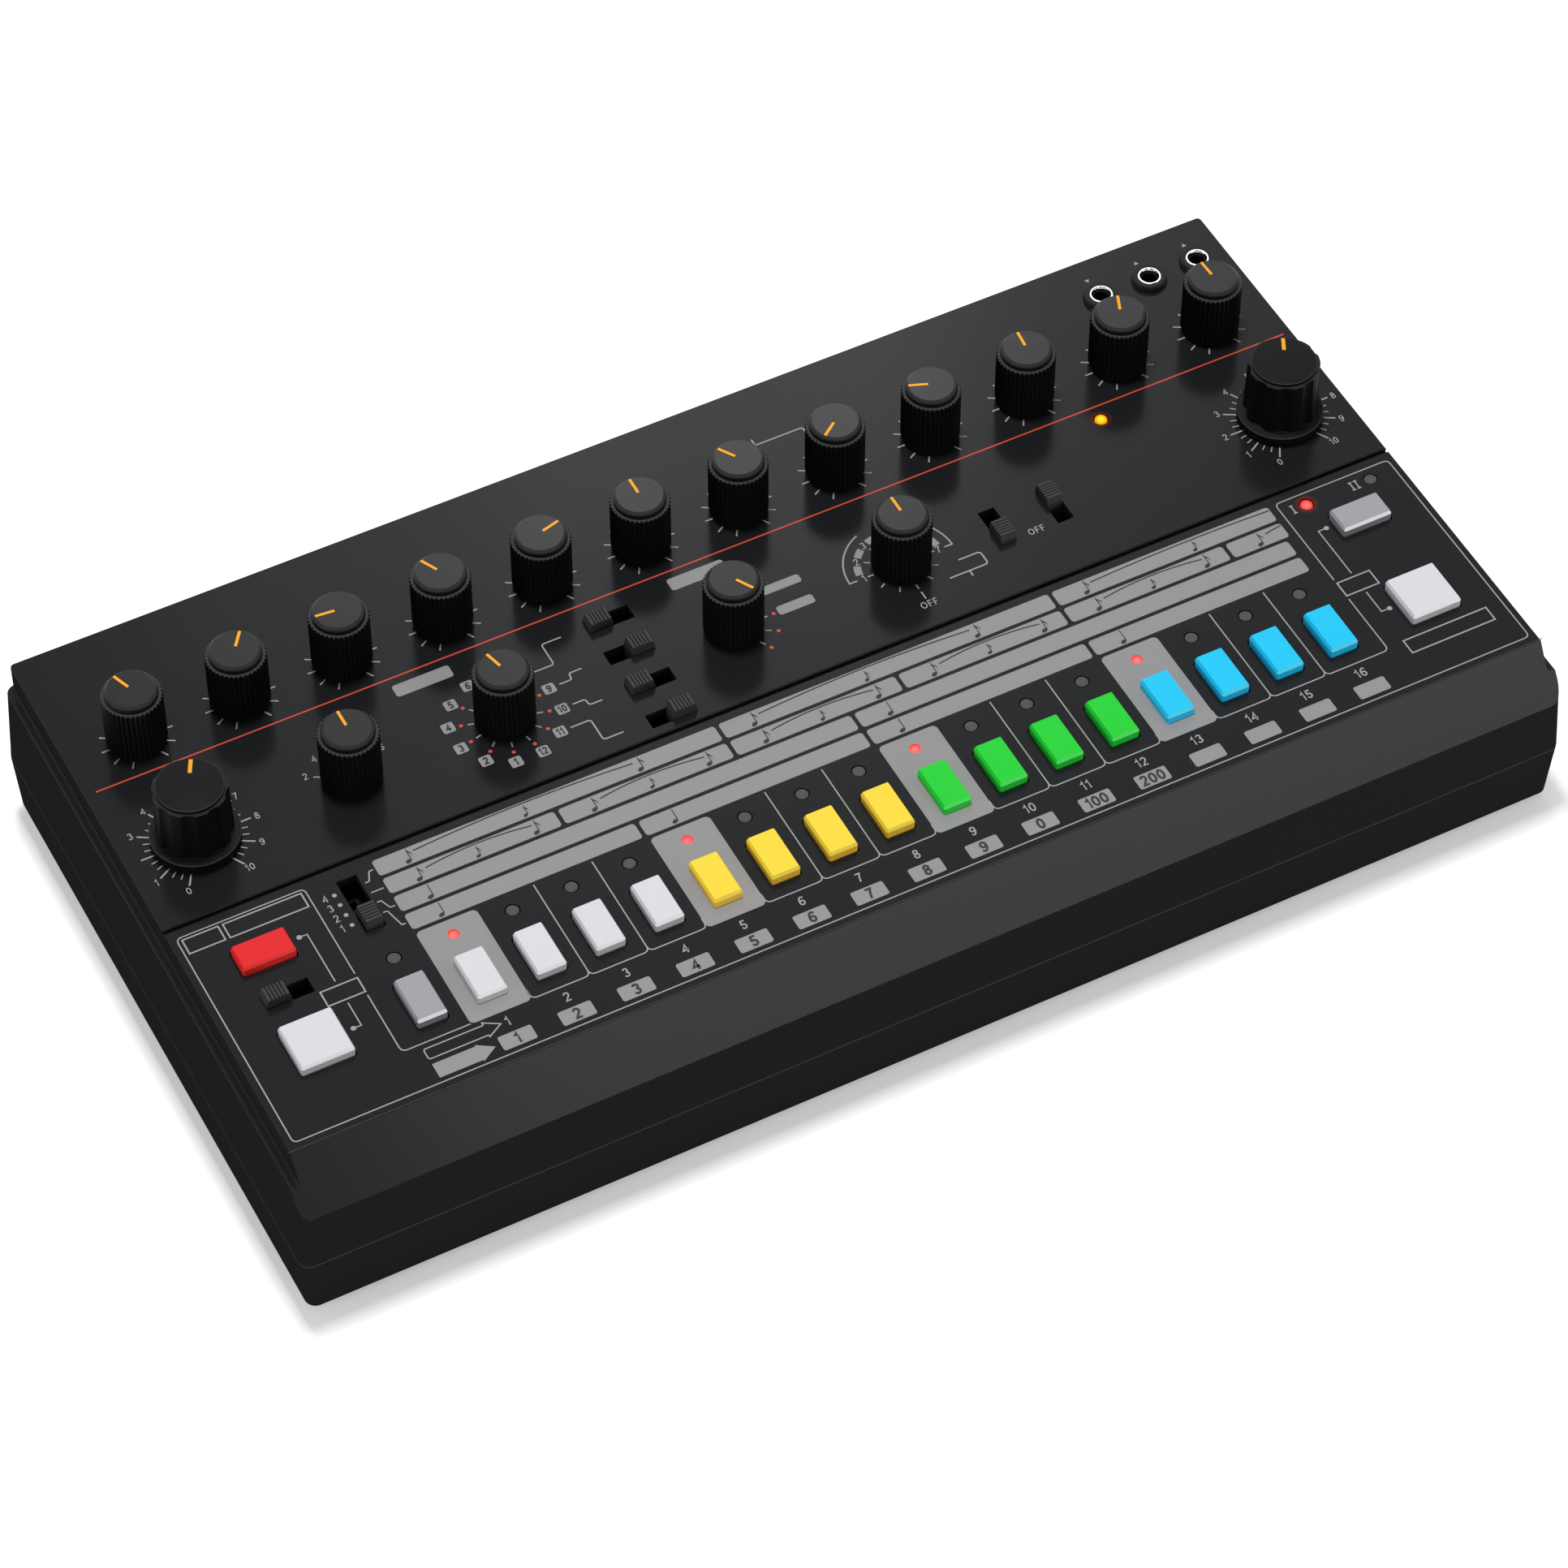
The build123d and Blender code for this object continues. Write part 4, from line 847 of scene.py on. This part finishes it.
def print_note(dark, x, y, size=1.0, flag=True):
    """Plain musical note: head, stem and, on an eighth, its flag."""
    tilt = math.radians(24)
    head = []
    for number in range(18):
        turn = 2 * math.pi * number / 18
        along, across = 0.74 * math.cos(turn), 0.5 * math.sin(turn)
        head.append((x + size * (along * math.cos(tilt) - across * math.sin(tilt)),
                     y + size * (along * math.sin(tilt) + across * math.cos(tilt))))
    dark.fill(head)
    stem = x + 0.68 * size
    dark.line([(stem, y + 0.1 * size), (stem, y + 3.3 * size)], 0.2)
    if flag:
        outer = bezier([(0.62, 3.3), (0.75, 2.3), (1.95, 2.2), (1.2, 0.7)])
        inner = bezier([(1.2, 0.7), (1.6, 1.6), (1.1, 2.0), (0.62, 2.35)])[1:]
        dark.fill([(x + size * px, y + size * py) for px, py in outer + inner])


def print_slur(dark, x0, x1, end, peak, start=None):
    """Shallow arch from one note to another."""
    start = end if start is None else start
    points = []
    for number in range(17):
        share = number / 16
        level = start + (end - start) * share
        points.append((x0 + (x1 - x0) * share, level + (peak - end) * 4 * share * (1 - share)))
    dark.line(points, 0.28)


def print_notes(dark):
    """Note values over the steps: one row for each way of dividing the bar."""
    low = BAR_ROWS[0][0] + 0.85
    for step in range(1, 17, 2):
        small = step in (3, 9, 15)
        print_note(dark, step_x(step) + NOTE_SHIFT, low - SMALL_NOTE_DROP * small,
                   SMALL_NOTE if small else 1)
    for x0, x1 in ((-94.05, -42.05), (-11.65, 40.35)):
        print_slur(dark, x0, x1, 60.1, 61.1)
    print_slur(dark, 70.75, 116.65, 60.3, 60.9, 60.1)
    low = BAR_ROWS[1][0] + 0.82
    for step in range(1, 17):
        small = step % 3 == 2
        print_note(dark, step_x(step) + NOTE_SHIFT, low - SMALL_NOTE_DROP * small,
                   SMALL_NOTE if small else 1)
    for step in range(1, 15, 3):
        x0 = step_x(step) + 2.4
        print_slur(dark, x0, x0 + 24.9, 54.6, 55.65)
    print_slur(dark, 112.35, 116.65, 55.2, 55.3, 54.6)
    for row, steps in ((2, (1, 9)), (3, TILE_STEPS)):
        for step in steps:
            print_note(dark, step_x(step) + NOTE_SHIFT, BAR_ROWS[row][0] + 0.85, flag=False)


def print_scale(light):
    """Scale switch positions and the lines that lead to their rows of notes."""
    for text, y in (("4", 56.7), ("3", 53.8), ("2", 50.8), ("1", 47.8)):
        light.figures(text, -116.15, y, 2.0)
        light.dot(-113.95, y, 0.5)
    for y0, y1, bend in ((56.8, 59.3, 1.0), (50.9, 48.4, 0.9), (47.8, 43.0, 1.1)):
        spots = [(-106.75, y0), (-105.8, y0), (-105.75 + bend, y1), (-103.75, y1)]
        light.line(rounded(spots, 0.3), 0.3)
    light.line([(-106.75, 53.8), (-103.85, 53.8)], 0.3)


def print_step_labels(light, panels, dark):
    """Step numbers, and the plates with second numbers in front of them."""
    for step in range(1, STEPS + 1):
        light.figures(str(step), step_x(step), 9.9, 2.4, 0.14)
    row = [str(number % 10) for number in range(1, 11)] + ["100", "200"]
    for step in range(1, STEPS + 1):
        x = step_x(step)
        panels.box(x - 3.84, x + 3.84, 3.14, 6.97, 0.5)
        if step <= len(row):
            dark.figures(row[step - 1], x, 5.05, 2.8, 0.19)


# Outlined blank plates beside the corner keys: left, right, near and far edge.
KEY_PLATES = ((-127.35, -118.85, 30.5, 34.6), (118.85, 127.15, 30.5, 34.7),
              (122.95, 144.15, 9.6, 13.5), (-147.25, -139.05, 56.5, 60.5),
              (-137.95, -119.95, 56.5, 60.5))


def print_corner_keys(light, panels):
    """Blank plates beside the four corner keys, and their links."""
    for x0, x1, y0, y1 in KEY_PLATES:
        light.line([(x0, y0), (x0, y1), (x1, y1), (x1, y0)], 0.35, closed=True)
    for x, end, near, low in ((-123.35, -125.15, 49.9, 22.9), (123.24, 125.3, 49.9, 23.05)):
        light.line([(end, near), (x, near), (x, RAIL_END_Y)])
        light.line([(x, RAIL_START_Y), (x, low), (end, low)])
        light.dot(end, near, 0.6)
        light.dot(end, low, 0.6)
    tip = [(-101.05, 8.4), (-101.05, 7.9), (-97.65, 9.9), (-101.05, 11.9), (-101.05, 11.2)]
    outline = [tip[0], (-114.75, 8.4), (-114.75, 11.2), tip[-1]]
    light.line(rounded(outline, 0.6))
    light.line(tip)
    panels.fill([(-114.75, 3.1), (-104.85, 3.1), (-104.85, 2.7), (-101.15, 5.05),
                 (-104.85, 7.4), (-104.85, 7.0), (-114.75, 7.0)])


def print_deck():
    """All print on the deck, and a painted highlight line along its front crease, in one piece for each ink."""
    light, panels, dark, red, edge = Ink(), Ink(), Ink(level=2), Ink(), Ink()
    print_dials(light, red, panels, dark)
    print_links(light, panels)
    print_step_frame(light)
    print_bars(panels)
    print_notes(dark)
    print_scale(light)
    print_step_labels(light, panels, dark)
    print_corner_keys(light, panels)
    red.line([(-147.3, 106.08), (147.65, 106.08)], 0.38)
    # Painted highlight: a thin light line along the front crease, where the rounded edge would catch light.
    edge.line([(-150.3, 0.12), (150.3, 0.12)], 0.2)
    light.finish("deck_print_light", "light_ink")
    panels.finish("deck_print_panels", "panel_ink")
    dark.finish("deck_print_dark", "dark_ink")
    red.finish("deck_print_red", "red_ink")
    edge.finish("deck_crease_highlight_line", "crease_highlight_paint")


# ---- turned pieces ----
def upright(x, y):
    """Places points round an upright axis that stands on the deck."""
    return lambda across, along, rise: deck(x + across, y + along, rise)


def rearward(name, dx=0.0, dz=0.0):
    """Places points round the axis of a rear connector, their depth in from its face."""
    centre = MOUNTS[name]
    return lambda across, up, depth: Vector((centre.x + (dx + across) * MM,
                                             REAR_FACE - depth * MM,
                                             centre.z + (dz + up) * MM))


def lathe(mesh, spot, profile, segments=48, closed=False):
    """Turns a profile of (radius, height) points round an axis."""
    rings = []
    for radius, z in profile:
        if radius < 1e-6:
            rings.append([mesh.verts.new(spot(0, 0, z))])
            continue
        ring = []
        for number in range(segments):
            turn = 2 * math.pi * number / segments
            across, along = radius * math.cos(turn), radius * math.sin(turn)
            ring.append(mesh.verts.new(spot(across, along, z)))
        rings.append(ring)
    if closed:
        rings.append(rings[0])
    for lower, upper in zip(rings, rings[1:]):
        for number in range(segments):
            after = (number + 1) % segments
            corners = [lower[number % len(lower)], lower[after % len(lower)],
                       upper[after % len(upper)], upper[number % len(upper)]]
            mesh.faces.new(list(dict.fromkeys(corners)))


def lens_profile(rise):
    """Flange, barrel and domed top of a lens, from its foot up to its crown."""
    profile = [(0, BOARD_TOP), (LENS_BASE, BOARD_TOP), (LENS_BASE, LENS_BASE_TOP),
               (LENS_RADIUS, LENS_BASE_TOP), (LENS_RADIUS, -0.12)]
    ball = (LENS_RADIUS ** 2 + rise ** 2) / (2 * rise)
    reach = math.asin(min(1.0, LENS_RADIUS / ball))
    for number in range(1, LENS_RINGS):
        turn = reach * (1 - number / LENS_RINGS)
        profile.append((ball * math.sin(turn), rise - ball + ball * math.cos(turn)))
    return profile + [(0, rise)]


def set_glow(obj, centres):
    """Marks how bright each point of a lens is, from 1 at its core to 0 at its rim."""
    layer = obj.data.attributes.new("glow", "FLOAT", "POINT")
    dx, dy = LENS_CORE_SHIFT
    values = []
    for vertex in obj.data.vertices:
        ways = [(vertex.co - deck(x + dx, y + dy)) / MM for x, y in centres]
        nearest = min(math.hypot(way.x, way.y) for way in ways)
        values.append(max(0.0, 1 - nearest / LENS_RADIUS))
    layer.data.foreach_set("value", values)


def build_lights():
    """Lenses that take the place of the plain status lights."""
    steps = [(step_x(number), LIGHT_ROW_Y) for number in range(STEPS + 1)]
    dark = [place for place in steps if place not in LIT_PLACES]
    dark.append((PATTERN_LIGHTS[1], PATTERN_LIGHT_Y))
    groups = (("lit_lenses", LIT_PLACES, LENS_DOME, "lit_lens"),
              ("unlit_lenses", dark, LENS_DOME, "off_lens"),
              ("tempo_lens", [TEMPO_LIGHT], TEMPO_LIGHT_RISE, "amber_lens"))
    for name, places, rise, material in groups:
        mesh = bmesh.new()
        for place in places:
            lathe(mesh, upright(*place), lens_profile(rise), 40)
        lens = piece(name, mesh, material, "case", smooth=True)
        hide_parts("status_lights")
        set_glow(lens, places)


def build_jacks():
    """Bushings, collars and housings that take the place of the plain mini jacks."""
    bushings, collars, housings = bmesh.new(), bmesh.new(), bmesh.new()
    top = JACK_BUSHING_RISE
    inner = JACK_BUSHING + 0.04
    slim = JACK_COLLAR - JACK_COLLAR_TAPER
    for x in JACK_XS:
        axis = upright(x, JACK_Y)
        lathe(bushings, axis, [
            (JACK_BUSHING, -2.5), (JACK_BUSHING, top - 0.12), (JACK_BUSHING - 0.12, top),
            (2.34, top), (2.26, top - 0.1), (2.0, top - 1.1), (2.0, -2.5)], 64, closed=True)
        lathe(housings, axis, [
            (1.99, top - 1.05), (1.9, top - 1.02), (JACK_BORE, top - 1.12), (JACK_BORE, -2.45),
            (1.99, -2.45)], 64, closed=True)
        lathe(collars, axis, [
            (inner, 0.02), (JACK_COLLAR, 0.02), (JACK_COLLAR, 0.35), (slim + 0.14, 1.2),
            (slim, JACK_COLLAR_RISE - 0.08), (slim - 0.12, JACK_COLLAR_RISE),
            (inner + 0.12, JACK_COLLAR_RISE), (inner, JACK_COLLAR_RISE - 0.1)], 64, closed=True)
        build_jack_housing(housings, x)
    for name, mesh, material in (("jack_bushings", bushings, "chrome"),
                                 ("jack_collars", collars, "collar"),
                                 ("jack_housings", housings, "switch")):
        made = piece(name, mesh, material, "case", smooth=True)
        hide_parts("mini_jacks")


def build_jack_housing(mesh, x):
    """Box under the deck round a jack's bore, open at its top."""
    half_x, half_y = JACK_BODY_LENGTH / 2, JACK_BODY_DEPTH / 2
    floor = BOARD_TOP + 1.0
    segments = 32
    outline, bore = [], []
    for number in range(segments):
        turn = 2 * math.pi * number / segments
        dx, dy = math.cos(turn), math.sin(turn)
        reach = min(half_x / max(abs(dx), 1e-6), half_y / max(abs(dy), 1e-6))
        outline.append((x + dx * reach, JACK_Y + dy * reach))
        bore.append((x + dx * JACK_BORE, JACK_Y + dy * JACK_BORE))
    loops = []
    for points, z in ((outline, BOARD_TOP), (outline, -2.5), (bore, -2.5), (bore, floor)):
        loops.append([mesh.verts.new(deck(px, py, z)) for px, py in points])
    skin(mesh, loops, capped=True)


# ---- rear connectors ----
def rear_liner(mesh, name, half_x, half_z, wall, depth):
    """Thin metal box that lines a rectangular socket, open at the rear."""
    place = rearward(name)
    loops = []
    for inset, deep in ((0, depth), (0, 0.1), (wall, 0.1), (wall, depth)):
        x, z = half_x - inset, half_z - inset
        loops.append([mesh.verts.new(place(*spot, deep))
                      for spot in ((-x, -z), (x, -z), (x, z), (-x, z))])
    skin(mesh, loops + loops[:1])


def rear_strip(mesh, name, x, z, half_x, half_z, near, far):
    """Contact strip along a socket's tongue, with a lead-in at its near end."""
    place = rearward(name)
    loops = []
    for share, deep in ((0.4, near), (1.0, near + 0.4), (1.0, far)):
        spots = [place(x + dx * share * half_x, z + dz * share * half_z, deep)
                 for dx, dz in ((-1, -1), (1, -1), (1, 1), (-1, 1))]
        loops.append([mesh.verts.new(spot) for spot in spots])
    skin(mesh, loops, capped=True)


ROUND_PIN_RING = 3.75
TONGUE_GAP = 1.93


def build_rear_trim():
    """Metal shells, rings and contacts of the rear connectors, and dark discs painted as the shade inside the pin
    holes.
    """
    metal, contacts, hole_shade_discs = bmesh.new(), bmesh.new(), bmesh.new()
    for name, bore, rim in (("line_output", 3.25, 4.6), ("phones_output", 1.8, 2.55)):
        lathe(metal, rearward(name), [
            (bore + 0.25, 0.02), (rim, 0.02), (rim, -0.2), (rim - 0.15, -0.35),
            (bore + 0.5, -0.35), (bore + 0.25, -0.15)], 64, closed=True)
    for name in ("round_socket_1", "round_socket_2"):
        lathe(metal, rearward(name), [
            (6.88, 8.9), (6.88, -0.2), (6.78, -0.3), (6.6, -0.3), (6.55, -0.15), (6.55, 8.9)],
            64, closed=True)
        for number in range(5):
            turn = math.radians(180 + 45 * number)
            pin = rearward(name, ROUND_PIN_RING * math.cos(turn),
                           ROUND_PIN_RING * math.sin(turn))
            lathe(contacts, pin, [(0.82, 0.49), (0.82, 0.4), (0.74, 0.36), (0.6, 0.36),
                                  (0.56, 0.4), (0.56, 0.49)], 24, closed=True)
            # Painted shade: a thin dark disc inside each contact ring stands for the dark inside of its pin hole.
            lathe(hole_shade_discs, pin, [(0, 0.47), (0.5, 0.47), (0.54, 0.485), (0.54, 0.495),
                               (0, 0.495)], 24)
    lathe(metal, rearward("supply_inlet"), [
        (0, 0.9), (0.5, 0.92), (0.88, 1.06), (1.06, 1.35), (1.06, 9.6), (1.02, 9.6),
        (1.02, 0.97), (0, 0.97)], 32)
    rear_liner(metal, "data_socket", 4.28, 3.78, 0.2, 8.8)
    for x in (-1.1, 1.1):
        for side in (-1, 1):
            rear_strip(contacts, "data_socket", x, side * TONGUE_GAP, 0.5, 0.04, 1.3, 8.7)
    for name, mesh, material in (("rear_socket_metal", metal, "chrome"),
                                 ("rear_socket_contacts", contacts, "gold"),
                                 ("rear_socket_holes", hole_shade_discs, "switch")):
        piece(name, mesh, material, "case", smooth=True)


# ---- pointers ----
def swept(mesh, name, profile, width, angle):
    """Sweeps a side outline of (reach, height) points across a width on a turned knob."""
    axis = Vector(AXES[name])
    turn = Matrix.Rotation(math.radians(-angle), 4, "Z")
    sides = []
    for side in (-0.5, 0.5):
        spots = [turn @ (Vector((side * width, reach, z)) * MM) + axis for reach, z in profile]
        sides.append([mesh.verts.new(spot) for spot in spots])
    skin(mesh, sides)
    mesh.faces.new(sides[0])
    mesh.faces.new(sides[1][::-1])


def cap_outline(inner, low, proud):
    """Side outline of a strip that runs over a small knob's cap and down its bevel."""
    edge = CAP_RADIUS - CAP_BEVEL
    return [(inner, low), (CAP_RADIUS - SLOT_SINK, low),
            (CAP_RADIUS + proud, CAP_TOP - CAP_BEVEL + proud),
            (edge + proud, CAP_TOP + proud), (inner, CAP_TOP + proud)]


def dome_outline(inner, outer, low, proud):
    """Side outline of a strip that follows a big knob's dome."""
    ball = (BIG_RIM_RADIUS ** 2 + BIG_DOME_RISE ** 2) / (2 * BIG_DOME_RISE)
    outline = [(inner, low), (outer, low)]
    for number in range(9):
        reach = outer - (outer - inner) * number / 8
        rise = math.sqrt(ball ** 2 - reach ** 2) - (ball - BIG_DOME_RISE)
        outline.append((reach, BIG_RIM_TOP + rise + proud))
    return outline


# Angles of the pointers in the pose at rest, in degrees clockwise from the rear.
LEVEL_ANGLES = (-20.7, 35.9, -84.1, -26.7, 74.8, 0.7, -32.1, -126.3, -68.5, 6.0, 22.5, -1.7)
SELECTOR_ANGLES = {"measure_selector_knob": 0.0, "track_selector_knob": -15.0,
                   "mode_selector_knob": 150.0, "fill_selector_knob": 0.0}
BIG_ANGLES = {"tempo_knob": 26.3, "volume_knob": 27.9}


def build_pointers():
    """A bed that fills each knob's pointer slot, and the painted line over it."""
    small = {f"level_knob_{number + 1:02d}": angle for number, angle in enumerate(LEVEL_ANGLES)}
    small.update(SELECTOR_ANGLES)
    low = CAP_TOP - SLOT_SINK
    edge, high = CAP_RADIUS - CAP_BEVEL, CAP_TOP + POINTER_PROUD
    strips = [(small, "small_knob", cap_outline(SLOT_INNER, low, 0.0), SLOT_WIDTH,
               [(POINTER_INNER, low), (edge, low), (edge, high), (POINTER_INNER, high)],
               POINTER_WIDTH)]
    low = BIG_RIM_TOP - SLOT_SINK
    rim = BIG_RIM_RADIUS - 0.02
    strips.append((BIG_ANGLES, "big_knob", dome_outline(BIG_SLOT_INNER, rim, low, 0.0),
                   BIG_SLOT_WIDTH,
                   dome_outline(BIG_POINTER_INNER, BIG_POINTER_OUTER, low, POINTER_PROUD),
                   BIG_POINTER_WIDTH))
    for angles, finish, bed, bed_width, line, line_width in strips:
        for name, angle in angles.items():
            for part, material, outline, width in (("slot_bed", finish, bed, bed_width),
                                                   ("pointer", "amber", line, line_width)):
                mesh = bmesh.new()
                swept(mesh, name, outline, width, angle)
                piece(f"{name}_{part}", mesh, material, name)


# ---- stage ----
CAMERA_PLACE = (-377.99, -723.77, 983.3)
CAMERA_AZIMUTH = -27.57
CAMERA_ELEVATION = 50.14
CAMERA_LENS = 130.99
FLOOR_SIZE = 12.0
FLOOR_TONE = (250, 250, 250)
FLOOR_BOUNCE = (200, 200, 200)
FLOOR_LIFT = 0.33
FLOOR_FADE = (0.3, 0.9)
FLOOR_DROP = 0.0002
WORLD_LEVEL = 0.25
SOFTBOX_PLACE = (0.42, 0.86, 0.9)
SOFTBOX_TARGET = (0.04, 0.07, 0.05)
SOFTBOX_PANE = (0.2, 0.2)
SOFTBOX_STEPS = ((-0.17, 0.25), (0.0, 0.5), (0.17, 0.25))
SOFTBOX_POWER = 1.45


def build_floor():
    """Pale floor that runs out into the white background."""
    mesh = bmesh.new()
    half = FLOOR_SIZE / 2
    spots = ((-half, -half), (half, -half), (half, half), (-half, half))
    mesh.faces.new([mesh.verts.new((x, y, -FLOOR_DROP)) for x, y in spots])
    floor = placed("floor", mesh)
    material = surface("floor_paper", FLOOR_TONE, 0.6, mottle=0.005, grain=0.005)
    tree, shader = inside(material)
    seen = seen_or_mirrored(tree)
    tone = blended(tree, seen, srgb(*FLOOR_BOUNCE), srgb(*FLOOR_TONE))
    tree.links.new(tone, shader.inputs["Base Color"])
    place = node(tree, "ShaderNodeTexCoord")
    away = node(tree, "ShaderNodeVectorMath", operation="LENGTH")
    tree.links.new(place.outputs["Object"], away.inputs[0])
    lift = spread(tree, away.outputs["Value"], FLOOR_LIFT, 1.0, *FLOOR_FADE)
    tree.links.new(product(tree, seen, lift), shader.inputs["Emission Strength"])
    fix(shader, Emission_Color=(1, 1, 1, 1))
    floor.data.materials.append(material)


def build_world():
    """White background that lights the object at a lower level."""
    world = bpy.data.worlds.new("studio")
    bpy.context.scene.world = world
    world.use_nodes = True
    tree = world.node_tree
    light = tree.nodes["Background"]
    level = spread(tree, seen_or_mirrored(tree), WORLD_LEVEL, 1.0, 0, 1)
    tree.links.new(level, light.inputs["Strength"])
    fix(light, Color=(1, 1, 1, 1))


def add_lamp(name, place, target, size, power):
    data = bpy.data.lights.new(name, "AREA")
    data.shape = "RECTANGLE"
    data.size, data.size_y = size
    data.energy = power
    lamp = linked(name, data)
    lamp.location = place
    lamp.rotation_euler = (Vector(target) - Vector(place)).to_track_quat("-Z", "Y").to_euler()


def build_lamps():
    """Soft overhead lamp, a softbox of panes graded to its edges, and two fill lamps."""
    add_lamp("overhead_softbox", (-0.03, 0.17, 1.5), (0.0, 0.0, 0.03), (0.16, 0.26), 13.6)
    x, y, z = SOFTBOX_PLACE
    for across, side_share in SOFTBOX_STEPS:
        for rise, share in SOFTBOX_STEPS:
            add_lamp("rear_softbox", (x + across, y, z + rise), SOFTBOX_TARGET, SOFTBOX_PANE,
                     SOFTBOX_POWER * side_share * share)
    add_lamp("left_fill", (-1.1, -0.15, 0.35), (-0.15, 0.0, 0.02), (0.5, 0.4), 2.5)
    add_lamp("front_strip", (0.58, -1.08, 0.22), (0.1, -0.07, 0.03), (0.95, 0.3), 4.3)


def build_camera():
    data = bpy.data.cameras.new("camera")
    data.sensor_width = 36
    data.lens = CAMERA_LENS
    data.clip_start, data.clip_end = 0.05, 30
    camera = linked("camera", data)
    camera.location = Vector(CAMERA_PLACE) * MM
    camera.rotation_euler = (math.radians(90 - CAMERA_ELEVATION), 0,
                             math.radians(CAMERA_AZIMUTH))
    bpy.context.scene.camera = camera


paint_frame()
print_deck()
build_lights()
build_jacks()
build_rear_trim()
build_pointers()
build_floor()
build_world()
build_lamps()
build_camera()
bpy.context.scene.view_settings.view_transform = "Standard"
